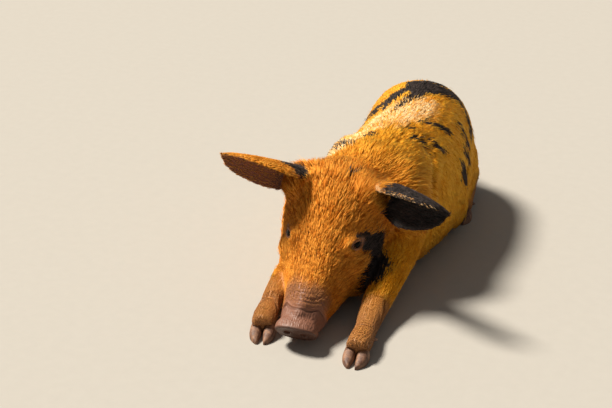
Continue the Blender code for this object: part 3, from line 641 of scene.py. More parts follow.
def hair_length(node, places):
    key = node.rsplit("_", 1)[0] if node.endswith(("left", "right")) else node
    length = np.full(len(places), HAIR_LENGTH[key])
    if node == "head":
        back = into(HEAD, places)[:, 1]
        length = np.interp(back, *np.array(HEAD_HAIR).T)
    return length


# Markings

# Which solids belong to the feet, and how much painted shade darkens the coat of each, how golden and how
# rough it is, from 0 to 1
LOWER_LEGS = {"foreleg_lower": 1.0, "hindleg_lower": 1.0, "other": 0.0}
LEG_PAINTED_SHADE = {"foreleg_upper": 0.8, "foreleg_lower": 1.0, "hindleg_lower": 0.7, "other": 0.0}
GOLDEN = {"head": 0.0, "jaw": 0.2, "snout": 0.0, "ear": 0.2, "neck": 0.35, "other": 1.0}
ROUGH = {"head": 1.0, "jaw": 0.6, "snout": 0.5, "ear": 0.6, "neck": 0.7, "other": 0.2}

# Folds of the skin: each a line of places on it, its depth and its width
BODY_FOLDS = {
    "behind_left_shoulder": (((0.040, -0.022, 0.2075), (0.0481, -0.0157, 0.2048), (0.0621, -0.004, 0.1985),
                              (0.076, -0.001, 0.189), (0.0859, -0.0033, 0.1772), (0.094, -0.020, 0.168),
                              (0.100, -0.045, 0.156), (0.104, -0.058, 0.135), (0.104, -0.066, 0.110)),
                             0.0032, 0.0075),
    "behind_right_shoulder": (((-0.012, 0.004, 0.209), (-0.045, 0.010, 0.190), (-0.072, 0.006, 0.160),
                               (-0.083, -0.004, 0.115), (-0.080, -0.020, 0.080)), 0.0026, 0.0080),
    "before_left_thigh": (((0.108, 0.085, 0.125), (0.115, 0.078, 0.095), (0.113, 0.074, 0.060)),
                          0.0024, 0.0070),
    "before_right_thigh": (((-0.074, 0.085, 0.125), (-0.083, 0.078, 0.095), (-0.084, 0.074, 0.060)),
                           0.0024, 0.0070),
}

# Each marking is a line drawn on the photo: places across and down it and the half width there, in pixels.
# On the skin it is spread a little
MARK_SPREAD = 1.12
SPOTS_IN_PHOTO = {
    "saddle": ((418, 90, 5), (428, 88, 6.5), (438, 88, 6.5), (446, 91, 5.5), (453, 95, 4.5),
               (458, 101, 3.5), (463, 108, 2.6), (466.5, 116, 2.2), (468.5, 125, 2), (469.5, 134, 1.4)),
    "saddle_top": ((412, 84, 2.5), (424, 81.5, 3.5), (440, 82.5, 3.5)),
    "streak_outer": ((364, 122, 2.2), (368, 116, 1.6), (376, 110, 1.8), (379, 106, 1), (386, 104, 1.6),
                     (392, 97, 1.8), (400, 92, 1.6), (412, 87, 2.4)),
    "streak_left_spot": ((374, 114, 2.4), (379, 107, 2.2)),
    "streak_middle": ((383, 111, 0.8), (388, 104, 1.6), (394, 98, 1.8), (404, 92.5, 1.8), (414, 89, 2.4)),
    "streak_inner": ((396, 108.5, 0.8), (401, 105, 1.6), (406, 101, 2.2), (412, 98, 2.6), (419, 94, 3)),
    "back_spot": ((430, 123.5, 0.9), (436, 125.5, 1.7), (442, 127.5, 1.6), (447, 129.5, 0.8)),
    "back_spot_start": ((416, 121.5, 0.5), (424, 122.5, 0.9), (431, 124, 0.8)),
    "shoulder_spot": ((427, 137.5, 0.7), (433, 142, 1.6), (437, 145.5, 1.4), (441, 149, 0.7)),
    "shoulder_edge": ((401, 136.5, 0.6), (408, 137, 1.3), (415, 138.5, 1.6), (421, 143, 1.4),
                      (426, 149, 1.2), (430, 155, 0.9)),
    "blade_edge": ((399, 129.5, 0.5), (407, 129.5, 0.8), (414, 129.5, 0.5)),
    "side_start": ((453, 117, 0.5), (457, 121, 0.8), (460, 125, 0.7)),
    "side_streak": ((459.5, 126.5, 0.9), (462.5, 131, 1.5), (465.5, 137, 1.5), (468.5, 144, 0.9)),
    "side_spot": ((461.5, 142, 0.8), (464.5, 148, 1.7), (467, 154, 1.6), (469.5, 160, 0.8)),
    "flank_spot": ((459.5, 158, 1.2), (462, 164, 2.6), (464, 170, 2.8), (466.5, 178, 1.4),
                   (467.5, 183, 0.8)),
    "elbow_streak": ((430.5, 176, 0.8), (431.5, 182, 1.5), (431.5, 188, 1.5), (430, 196, 0.8)),
    "brow_spot": ((343, 179, 1.4), (348, 177, 2.2), (354, 175.5, 1.6)),
    "crown_spot": ((337, 161, 1.2), (342, 161.5, 1.6), (348, 163, 1)),
    "nape_spot": ((364, 156, 0.8), (369, 155, 1)),
    "neck_patch": ((337, 146, 1.8), (344, 144, 2.6), (353, 142.5, 1.8)),
    "neck_patch_behind": ((366, 136, 1.2), (371, 135, 1.8), (376, 136, 1)),
}
# Pale cream lines on the loin and the side of the neck: partly the coat's own cream, partly a painted
# highlight where the back and the neck face the light
PALE_IN_PHOTO = {
    "loin": ((372, 123, 3.5), (380, 119, 6), (390, 115, 8), (402, 111, 8.5), (414, 107, 7.5),
             (424, 104, 4.5)),
    "loin_behind": ((398, 120, 4), (412, 114, 5), (424, 109, 4)),
    "neck_side": ((328, 153, 5), (337, 147, 5.5), (347, 140, 6), (357, 135, 6), (368, 130, 4),
                  (378, 127.5, 2.5)),
}
# Two patches that reach past the solids' outline in the photo are set on the skin, in metres
SPOTS_ON_SKIN = {
    "right_ear_root": ((-0.074, -0.156, 0.198, 0.0070), (-0.069, -0.154, 0.197, 0.0090),
                       (-0.059, -0.152, 0.193, 0.0110), (-0.051, -0.155, 0.188, 0.0080)),
    "cheek_patch": ((0.038, -0.174, 0.113, 0.0050), (0.044, -0.163, 0.101, 0.0100),
                    (0.050, -0.146, 0.083, 0.0180), (0.052, -0.146, 0.068, 0.0195),
                    (0.048, -0.154, 0.052, 0.0170), (0.045, -0.164, 0.036, 0.0130)),
}
# A place where the camera meets a foreleg or nothing moves towards this one, a step at a time, in pixels
TRUNK_IN_PHOTO, STEP, MOST_STEPS = Vector((410, 190)), 0.5, 40
# How much wider a line may grow on a solid that turns away from the camera
MOST_SLANT, LEAST_FACING = 2.0, 0.05


def ray_trees():
    """Each solid, ready to be met by rays."""
    return {
        name: BVHTree.FromPolygons([v.co for v in node.data.vertices], triangles_of(node.data).tolist())
        for name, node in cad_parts.items()
    }


def first_met(trees, spot):
    """What the camera meets first at a spot of the photo: place, normal, face, distance and solid."""
    aim = CAMERA_AXES @ Vector((spot.x - PHOTO_WIDTH / 2, PHOTO_HEIGHT / 2 - spot.y, -FOCAL_PIXELS))
    hits = [(*tree.ray_cast(CAMERA_PLACE, aim.normalized()), name) for name, tree in trees.items()]
    return min((hit for hit in hits if hit[0] is not None), key=lambda hit: hit[3], default=None)


def seen_on_body(trees, spot):
    """The place and the normal where the camera sees a spot of the photo on the head or the trunk."""
    toward = (TRUNK_IN_PHOTO - spot).normalized() * STEP
    for step in range(MOST_STEPS):
        hit = first_met(trees, spot + toward * step)
        if hit is not None and "foreleg" not in hit[4]:
            return hit[0], hit[1]
    raise RuntimeError(f"no solid is seen near the photo's {tuple(spot)}")


def laid_on_body(lines):
    """Lines drawn on the photo, laid on the solids: places and the half width at each, in metres."""
    trees = ray_trees()
    laid = {}
    for name, line in lines.items():
        rows = []
        for index, (across, down, half) in enumerate(line):
            place, normal = seen_on_body(trees, Vector((across, down)))
            before, after = line[max(0, index - 1)], line[min(len(line) - 1, index + 1)]
            along = Vector((after[0] - before[0], after[1] - before[1])).normalized()
            crossing = CAMERA_AXES @ Vector((-along.y, -along.x, 0))
            view = (place - CAMERA_PLACE).normalized()
            slant = (crossing - view * (crossing.dot(normal) / min(-LEAST_FACING, view.dot(normal)))).length
            depth = (place - CAMERA_PLACE).dot(-CAMERA_AXES.col[2])
            rows.append((*place, half * depth / FOCAL_PIXELS * min(MOST_SLANT, slant)))
        laid[name] = rows
    return laid


SPOTS = {**laid_on_body(SPOTS_IN_PHOTO), **SPOTS_ON_SKIN}
PALE = laid_on_body(PALE_IN_PHOTO)


def distance_to(places, line):
    """How far each place is from a line through given places."""
    found = np.full(len(places), np.inf)
    for start, end in zip(line, line[1:]):
        start, step = np.array(start[:3]), np.array(end[:3]) - np.array(start[:3])
        share = np.clip((places - start) @ step / (step @ step), 0, 1)
        found = np.minimum(found, np.linalg.norm(places - start - share[:, None] * step, axis=1))
    return found


def marked(places, lines):
    """How far each place lies inside any of the markings, with ragged edges."""
    found = np.zeros(len(places))
    ragged = 0.22 * soft_noise(places, 0.022, 11) + 0.20 * soft_noise(places, 0.008, 12)
    for line in lines.values():
        for start, end in zip(line, line[1:]):
            step = np.array(end[:3]) - np.array(start[:3])
            share = np.clip((places - np.array(start[:3])) @ step / (step @ step), 0, 1)
            half_width = MARK_SPREAD * (start[3] + share * (end[3] - start[3]))
            reach = distance_to(places, (start, end)) / half_width
            found = np.maximum(found, smoothstep(1.5, 0.6, reach + ragged))
    return found


def share_of(labels, pairs, shares, steps):
    """A value for each vertex from those of the solids, evened out over their seams."""
    table = np.array([shares.get(node.rsplit("_", 1)[0], shares["other"]) for node in FLESH])
    return averaged(table[labels], pairs, steps)


def markings(mesh, labels, chosen):
    """Dark, pale, bare and hollow parts, stains of the skin together with painted shade on the disc's face,
    in the folds and on the feet, the painted shade of the legs' coat, and how golden and how rough the coat
    is, from 0 to 1.
    """
    places = coordinates(mesh)
    pairs = edges_of(mesh)
    dark = marked(places, SPOTS)
    pale = marked(places, PALE)
    hollow, bare = np.zeros(len(places)), np.zeros(len(places))
    for side, node in zip((1, -1), EARS):
        along, across, depth = on_ear(side, places)
        mine = averaged((labels == FLESH.index(node)) * 1.0, pairs, 3)
        inner = smoothstep(-0.0008, 0.0008, depth) * (across < 0.95)
        hollow = np.maximum(hollow, mine * inner)
        if side > 0:
            ragged = along + 0.03 * soft_noise(places, 0.015, 13)
            # The left ear is black past its root, and its hollow black, its own black skin deepened with
            # painted shade
            dark = np.maximum(dark, mine * np.maximum(inner, smoothstep(0.20, 0.34, ragged)))
            pale = np.maximum(pale, 0.8 * mine * (across > 0.88) * (1 - inner))
        else:
            # Painted shade: the right ear's hollow darkens towards its root, under its rolled rim
            dark = np.maximum(dark, 0.75 * mine * inner * smoothstep(0.42, 0.16, along))
            bare = np.maximum(bare, 0.6 * mine * inner)
    head = into(HEAD, places)
    behind = behind_crease(head)
    on_head = np.isin(labels, [FLESH.index(name) for name in HEAD_NODES])
    middle = 14 * (head[:, 0] + 0.005) ** 2
    bridge = smoothstep(0.052, 0.026, behind + middle + 0.004 * soft_noise(head, 0.012, 14))
    bridge = bridge * smoothstep(-0.012, 0.010, head[:, 2])
    bare = np.maximum(bare, on_head * np.maximum(smoothstep(0.010, 0.001, behind), 0.92 * bridge))
    face = DISC_FRONT - math.tan(DISC_TILT) * head[:, 2]
    disc = on_head * smoothstep(0.0045, 0.0005, head[:, 1] - face)
    feet = smoothstep(0.072, 0.012, places[:, 2]) * share_of(labels, pairs, LOWER_LEGS, 60)
    grooves = np.clip(-fold_heights(places, chosen) / 0.0012, 0, 1)
    # Painted shade: the disc's face, turned down and away from the light, is darkened, partly its own darker
    # skin, and the grooves of the wrinkles and folds are darkened as if shadowed
    stain_and_painted_shade = np.maximum(0.80 * disc, 0.55 * grooves)
    stain_and_painted_shade = np.maximum(stain_and_painted_shade, 0.34 * on_head * np.maximum(smoothstep(0.002, -0.002, behind), bridge))
    # Painted shade on the lower legs, darker towards the floor
    stain_and_painted_shade = np.maximum(stain_and_painted_shade, 0.55 * feet)
    stain_and_painted_shade = np.maximum(stain_and_painted_shade, disc * smoothstep(0.002, 0.006, head[:, 1] - face))
    for side in EYES:
        local = into(eye_frame(side), places)
        rim = np.hypot(local[:, 0] / LID_WIDTH, local[:, 2] / LID_HEIGHT) * 2
        near = np.linalg.norm(local, axis=1) < 0.020
        bare = np.maximum(bare, 0.95 * smoothstep(2.1, 1.5, rim) * near)
        lid_edge = np.maximum(0.9 * smoothstep(1.25, 1.02, rim), 0.5 * smoothstep(1.5, 1.75, rim))
        stain_and_painted_shade = np.maximum(stain_and_painted_shade, near * lid_edge)
    bare = np.maximum(bare, 0.85 * feet)
    return {
        "dark": np.clip(dark, 0, 1),
        "pale": pale,
        "bare": bare,
        "stain_and_painted_shade": stain_and_painted_shade,
        "hollow": hollow,
        # painted shade that darkens the coat of the legs, as if shadowed
        "shaded": share_of(labels, pairs, LEG_PAINTED_SHADE, 60),
        "gold": share_of(labels, pairs, GOLDEN, 60),
        "rough": share_of(labels, pairs, ROUGH, 40),
    }


# Materials

def node_of(tree, kind, **values):
    made = tree.nodes.new(kind)
    for name, value in values.items():
        setattr(made, name, value)
    return made


def feed(tree, target, *sources):
    """Fills a node's inputs by name or number with sockets or plain values."""
    for name, source in sources:
        socket = target.inputs[name]
        if isinstance(source, bpy.types.NodeSocket):
            tree.links.new(source, socket)
        else:
            socket.default_value = source


def mixed(tree, share, first, second, blend="MIX"):
    mix = node_of(tree, "ShaderNodeMix", data_type="RGBA", blend_type=blend)
    feed(tree, mix, (0, share), (6, first), (7, second))
    return mix.outputs[2]


def sum_of(tree, operation, first, second=0.0, third=0.0, clamp=False):
    math_node = node_of(tree, "ShaderNodeMath", operation=operation, use_clamp=clamp)
    feed(tree, math_node, (0, first), (1, second), (2, third))
    return math_node.outputs[0]


def noise_of(tree, vector, scale, detail=3.0, roughness=0.55):
    noise = node_of(tree, "ShaderNodeTexNoise")
    feed(tree, noise, ("Vector", vector), ("Scale", scale), ("Detail", detail), ("Roughness", roughness))
    return noise.outputs["Fac"]


def attribute_of(tree, name):
    return node_of(tree, "ShaderNodeAttribute", attribute_name=name).outputs["Fac"]


def object_places(tree, scale=(1, 1, 1), turn=(0, 0, 0)):
    texture = node_of(tree, "ShaderNodeTexCoord")
    mapping = node_of(tree, "ShaderNodeMapping")
    feed(tree, mapping, ("Vector", texture.outputs["Object"]), ("Scale", scale), ("Rotation", turn))
    return mapping.outputs["Vector"]


def rgba(colour):
    return (*colour, 1.0)


def new_material(name):
    made = bpy.data.materials.new(name)
    made.use_nodes = True
    return made, made.node_tree, made.node_tree.nodes["Principled BSDF"]


def coat_colour_group():
    """Colour of the coat from its markings, the tuft's own shade and how near its tip a place is. Towards
    the root it deepens, partly the hair's own tone and partly painted shade between the hairs, and towards
    the tip it brightens, partly a painted highlight.
    """
    coat = settings("coat")
    group = bpy.data.node_groups.new("piglet_coat_colour", "ShaderNodeTree")
    for name in ("Dark", "Pale", "Gold", "Shade", "Tip"):
        group.interface.new_socket(name, in_out="INPUT", socket_type="NodeSocketFloat")
    group.interface.new_socket("Colour", in_out="OUTPUT", socket_type="NodeSocketColor")
    entry, leave = group.nodes.new("NodeGroupInput"), group.nodes.new("NodeGroupOutput")
    dark, pale, gold, shade, tip = (entry.outputs[name] for name in ("Dark", "Pale", "Gold", "Shade", "Tip"))
    deep = mixed(group, gold, rgba(coat.ginger_deep), rgba(coat.gold_deep))
    plain = mixed(group, gold, rgba(coat.ginger), rgba(coat.gold))
    bright = mixed(group, gold, rgba(coat.ginger_light), rgba(coat.gold_light))
    # Deeper towards the root with painted shade, lighter towards the tip with a painted highlight, over the
    # hair's own tone
    ginger = mixed(group, shade, mixed(group, tip, deep, plain), mixed(group, tip, plain, bright))
    cream = mixed(group, shade, plain, rgba(coat.pale))
    light = mixed(group, pale, ginger, cream)
    grey = sum_of(group, "MULTIPLY", tip, shade)
    black = mixed(group, grey, rgba(coat.black), rgba(coat.black_tip))
    group.links.new(mixed(group, dark, light, black), leave.inputs["Colour"])
    return group


def coat_material(group):
    ready = bpy.data.materials.get("piglet_coat")
    if ready:
        return ready
    made, tree, shader = new_material("piglet_coat")
    colour = node_of(tree, "ShaderNodeGroup", node_tree=group)
    names = (("Dark", "dark"), ("Pale", "pale"), ("Gold", "gold"), ("Shade", "shade"), ("Tip", "tip"))
    feed(tree, colour, *[(socket, attribute_of(tree, name)) for socket, name in names])
    pink = mixed(tree, attribute_of(tree, "bare"), colour.outputs[0], rgba(settings("coat").face))
    tree.links.new(pink, shader.inputs["Base Color"])
    feed(tree, shader, ("Roughness", 0.60), ("Specular IOR Level", 0.14))
    return made


def skin_material(group):
    skin = settings("skin")
    made, tree, shader = new_material("piglet_skin")
    places = object_places(tree)
    colour = node_of(tree, "ShaderNodeGroup", node_tree=group)
    streaks = noise_of(tree, object_places(tree, (1, 0.3, 0.5)), 420, 4)
    # Under the coat the skin takes the tufts' colour near the root, painted shade under the hair
    feed(tree, colour, ("Dark", attribute_of(tree, "dark")), ("Pale", attribute_of(tree, "pale")),
         ("Gold", attribute_of(tree, "gold")), ("Shade", streaks), ("Tip", 0.2))
    specks = noise_of(tree, places, 330, 5, 0.7)
    specks = sum_of(tree, "MULTIPLY_ADD", specks, 5.0, -2.7, clamp=True)
    # Specks and stains of the bare skin, together with painted shade on the disc's face, in the folds and on
    # the feet
    stain_specks_and_painted_shade = sum_of(tree, "MULTIPLY_ADD", specks, 0.6, attribute_of(tree, "stain_and_painted_shade"), clamp=True)
    bare_colour = mixed(tree, stain_specks_and_painted_shade, rgba(skin.bare), rgba(skin.bare_dark))
    bare = attribute_of(tree, "bare")
    outer = mixed(tree, bare, colour.outputs[0], bare_colour)
    dark = attribute_of(tree, "dark")
    # Bare skin of the ear's hollow, black where marked dark, with painted shade towards the right ear's root
    # and in the left ear's hollow
    hollow_colour = mixed(tree, dark, rgba(skin.ear_inside), rgba(settings("coat").black))
    blotched = mixed(tree, sum_of(tree, "MULTIPLY", specks, 0.4), hollow_colour, rgba(skin.bare_dark))
    hollow = sum_of(tree, "MULTIPLY", attribute_of(tree, "hollow"), 0.95)
    tree.links.new(mixed(tree, hollow, outer, blotched), shader.inputs["Base Color"])
    tree.links.new(sum_of(tree, "MULTIPLY_ADD", bare, -0.14, 0.62), shader.inputs["Roughness"])
    fine = noise_of(tree, places, 900, 4, 0.6)
    bump = node_of(tree, "ShaderNodeBump")
    feed(tree, bump, ("Strength", 0.35), ("Distance", 0.0006), ("Height", fine))
    tree.links.new(bump.outputs["Normal"], shader.inputs["Normal"])
    feed(tree, shader, ("Specular IOR Level", 0.4))
    return made


def eye_material():
    eyes = settings("eyes")
    made, tree, shader = new_material("piglet_eye")
    ramp = node_of(tree, "ShaderNodeValToRGB")
    tree.links.new(attribute_of(tree, "from_pupil"), ramp.inputs["Fac"])
    pupil = (0.004, 0.003, 0.003)
    stops = ((0.0, pupil), (0.36, pupil), (0.42, eyes.iris), (0.66, eyes.iris), (0.76, eyes.iris_edge),
             (0.88, eyes.white))
    while len(ramp.color_ramp.elements) < len(stops):
        ramp.color_ramp.elements.new(0.5)
    for element, (place, colour) in zip(ramp.color_ramp.elements, stops):
        element.position = place
        element.color = rgba(colour)
    fibres = noise_of(tree, object_places(tree), 1600, 3)
    darker = sum_of(tree, "MULTIPLY_ADD", fibres, 0.8, 0.5)
    shaded = mixed(tree, 1.0, ramp.outputs["Color"], darker, "MULTIPLY")
    tree.links.new(shaded, shader.inputs["Base Color"])
    feed(tree, shader, ("Roughness", 0.09), ("Specular IOR Level", 0.07))
    return made


def claw_material():
    claws = settings("claws")
    made, tree, shader = new_material("piglet_claw")
    places = object_places(tree, (1, 1, 0.15))
    worn = noise_of(tree, places, 160, 5, 0.65)
    rings = noise_of(tree, object_places(tree, (0.15, 1, 0.4)), 620, 2)
    share = sum_of(tree, "MULTIPLY_ADD", worn, 3.6, -1.40, clamp=True)
    tree.links.new(mixed(tree, share, rgba(claws.horn), rgba(claws.horn_tip)), shader.inputs["Base Color"])
    bump = node_of(tree, "ShaderNodeBump")
    feed(tree, bump, ("Strength", 0.8), ("Distance", 0.0008), ("Height", rings))
    tree.links.new(bump.outputs["Normal"], shader.inputs["Normal"])
    tree.links.new(sum_of(tree, "MULTIPLY_ADD", worn, 0.35, 0.42), shader.inputs["Roughness"])
    return made


def floor_material():
    made, tree, shader = new_material("floor")
    grain = noise_of(tree, object_places(tree), 60, 5)
    floor = rgba(settings("stage").floor)
    darker = [0.93 * value for value in floor[:3]]
    tree.links.new(mixed(tree, grain, rgba(darker), floor), shader.inputs["Base Color"])
    feed(tree, shader, ("Roughness", 0.9))
    return made


def shared_group():
    return bpy.data.node_groups.get("piglet_coat_colour") or coat_colour_group()


# Coat

def spread_roots(places, triangles, density, count, rng):
    """Evenly spread roots: for each its triangle and its shares of the three corners."""
    corners = places[triangles]
    area = np.linalg.norm(np.cross(corners[:, 1] - corners[:, 0], corners[:, 2] - corners[:, 0]), axis=1) / 2
    weight = np.cumsum(area * density[triangles].mean(axis=1))
    picks = (np.arange(count) + rng.random(count)) / count * weight[-1]
    chosen = np.searchsorted(weight, picks)
    first, second = rng.random(count), rng.random(count)
    flip = first + second > 1
    first, second = np.where(flip, 1 - first, first), np.where(flip, 1 - second, second)
    shares = np.stack([1 - first - second, first, second], axis=1)
    return triangles[np.minimum(chosen, len(triangles) - 1)], shares


def tuft_mesh(name, roots, ups, reaches, widths, rises, values, patches):
    """Tapered tufts of six faces, each rising from the skin to its widest and bending back to a tip."""
    count = len(roots)
    lengths = np.linalg.norm(reaches, axis=1)[:, None]
    sides = unit(np.cross(reaches, ups))
    forward = np.cross(ups, sides)
    rise = np.radians(rises)[:, None]
    middle = roots + lengths * 0.42 * (forward * np.cos(rise) + ups * np.sin(rise))
    tip = middle + lengths * 0.58 * (forward * np.cos(rise * 0.3) - ups * np.sin(rise * 0.3))
    half = widths[:, None] / 2
    across = sides * half
    corners = (roots - ups * 0.0006, middle - across, middle + across, middle + ups * half * 0.8, tip)
    points = np.stack(corners, axis=1)
    points[:, :, 2] = np.maximum(points[:, :, 2], TUFT_FLOOR)
    pattern = np.array([(1, 3, 4), (3, 2, 4), (2, 1, 4), (3, 1, 0), (2, 3, 0), (1, 2, 0)])
    faces = (np.arange(count)[:, None, None] * 5 + pattern[None]).reshape(-1, 3)
    mesh = bpy.data.meshes.new(name)
    mesh.vertices.add(count * 5)
    mesh.vertices.foreach_set("co", points.astype(np.float32).ravel())
    mesh.loops.add(faces.size)
    mesh.loops.foreach_set("vertex_index", faces.astype(np.int32).ravel())
    mesh.polygons.add(len(faces))
    mesh.polygons.foreach_set("loop_start", np.arange(0, faces.size, 3, dtype=np.int32))
    mesh.update(calc_edges=True)
    mesh.shade_smooth()
    for label, column in values.items():
        write_attribute(mesh, label, np.repeat(column, 5))
    write_attribute(mesh, "tip", np.tile([0.0, 0.4, 0.4, 0.5, 1.0], count))
    offsets = np.array([(0, -1), (-1, -0.1), (1, -0.1), (0, 0.1), (0, 1)]) * 0.0015
    spots = (patches[:, None, :] + offsets[None]).reshape(-1, 2)
    layer = mesh.uv_layers.new(name="OFBake")
    layer.data.foreach_set("uv", spots[faces.ravel()].astype(np.float32).ravel())
    return mesh


def strands(roots, lies, leaders):
    """For each tuft, the leader of its strand. Strands are five times as long along the lie as across it."""
    near, stretch = 9, 5
    tree = KDTree(len(leaders))
    for i, place in enumerate(roots[leaders]):
        tree.insert(place, i)
    tree.balance()
    found = np.array([[item[1] for item in tree.find_n(place, near)] for place in roots])
    offset = roots[leaders][found] - roots[:, None]
    along = np.einsum("ijk,ik->ij", offset, lies)
    distance = (offset**2).sum(axis=2) - (1 - 1 / stretch**2) * along**2
    return leaders[found[np.arange(len(roots)), distance.argmin(axis=1)]]


# Which solids each coat piece covers, and whether it is parted into a left and a right half
COAT_PIECES = {
    "coat_face": (("head", "jaw", "snout"), False),
    "coat_neck": (("neck",), False),
    "coat_torso": (("torso",), True),
    "coat_rump": (("rump", "tail"), True),
    "coat_thighs": (("hindleg_upper_left", "hindleg_upper_right"), False),
    "coat_forelegs": (tuple(name for name in LEGS if name.startswith("foreleg")), False),
    "coat_hind_shanks": (("hindleg_lower_left", "hindleg_lower_right"), False),
    "coat_ears": (EARS, False),
}
# Where the face ends and the crown begins along the head's axis
CROWN_BACK = 0.128


def unwrapped(places, axis_start, axis_end, up):
    """Places rolled out round an axis: the turn round it and the way along it, each from 0 to 1."""
    along = unit(np.array(axis_end, float) - np.array(axis_start, float))
    side = unit(np.cross(along, np.array(up, float)))
    rise = np.cross(side, along)
    offset = places - np.array(axis_start, float)
    turn = np.arctan2(offset @ side, offset @ rise) / (2 * math.pi) + 0.5
    reach = offset @ along
    span = max(reach.max() - reach.min(), 1e-6)
    return np.stack([turn, (reach - reach.min()) / span], axis=1)


def patches_of(places, owners):
    """Where each tuft lies on the unwrapped skin: every solid has a strip of the square of its own."""
    patches = np.zeros((len(places), 2))
    present = sorted(set(owners))
    for strip, owner in enumerate(present):
        mine = owners == owner
        low, high = (np.array(corner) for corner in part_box(FLESH[owner]))
        middle = (low + high) / 2
        start, end = middle.copy(), middle.copy()
        start[1], end[1] = low[1], high[1]
        if FLESH[owner] in EARS:
            start, end = ear_axis(1 if FLESH[owner] == EARS[0] else -1)
        found = unwrapped(places[mine], start, end, (0, 0.02, 1))
        found = 0.01 + 0.98 * found
        patches[mine, 0] = (strip + found[:, 0]) / len(present)
        patches[mine, 1] = found[:, 1]
    return patches


class PIGLET_OT_skin(bpy.types.Operator):
    """Draws one skin over the flesh and shapes its face"""

    bl_idname = "piglet.skin"
    bl_label = "Skin"

    def execute(self, context):
        chosen = settings("skin")
        skin = one_surface(chosen.voxel, chosen.overlap)
        mesh = skin.data
        smooth_skin(mesh)
        self.thin_out(skin)
        refine(mesh, near_face_details)
        refine(mesh, near_fine_details)
        places = coordinates(mesh)
        places = places + normals(mesh) * fold_heights(places, chosen)[:, None]
        places = shape_disc(places)
        for side in EYES:
            places = shape_lids(places, side)
        labels = node_labels(places)
        pairs = edges_of(mesh)
        ways, lengths = np.zeros_like(places), np.zeros(len(places))
        for index, node in enumerate(FLESH):
            mine = labels == index
            ways[mine] = unit(lie_of(node, places[mine]))
            lengths[mine] = hair_length(node, places[mine])
        place_vertices(mesh, places)
        directions = normals(mesh)
        for _ in range(6):
            ways = unit(averaged(ways, pairs, 8, 0.7))
            ways -= directions * (ways * directions).sum(axis=1)[:, None]
        lengths = averaged(lengths, pairs, 16)
        on_head = np.isin(labels, [FLESH.index(name) for name in HEAD_NODES])
        hair = lengths * np.where(on_head, smoothstep(0.001, 0.012, behind_crease(into(HEAD, places))), 1.0)
        for node in EYES.values():
            distance = np.linalg.norm(places - np.array(centre_of(node)), axis=1)
            hair = hair * (0.22 + 0.78 * smoothstep(0.0125, 0.027, distance))
        ankle = share_of(labels, pairs, LOWER_LEGS, 40)
        hair = hair * (1 - 0.4 * ankle * smoothstep(0.060, 0.015, places[:, 2]))
        places = places - directions * (COAT_DEPTH_SHARE * hair)[:, None]
        places[:, 2] = np.maximum(places[:, 2], SKIN_FLOOR)
        place_vertices(mesh, places)
        masks = markings(mesh, labels, chosen)
        for name, values in {**masks, "hair": hair, "lie": unit(ways), "part": labels.astype(float)}.items():
            write_attribute(mesh, name, values)
        mesh.shade_smooth()
        print("skin", len(triangles_of(mesh)), "triangles")
        finish_piece(skin, skin_material(shared_group()), FLESH)
        return {"FINISHED"}

    def thin_out(self, skin):
        """Leaves fewer faces under the coat of the body, where no detail is shaped."""
        places = coordinates(skin.data)
        body = np.nonzero(into(HEAD, places)[:, 1] > BODY_STARTS)[0]
        group = skin.vertex_groups.new(name="body")
        group.add(body.tolist(), 1.0, "REPLACE")
        thin = skin.modifiers.new("Thin", "DECIMATE")
        thin.ratio = 1 - THINNED_SHARE * len(body) / len(places)
        thin.vertex_group = group.name
        apply_modifiers(skin)
        skin.vertex_groups.clear()


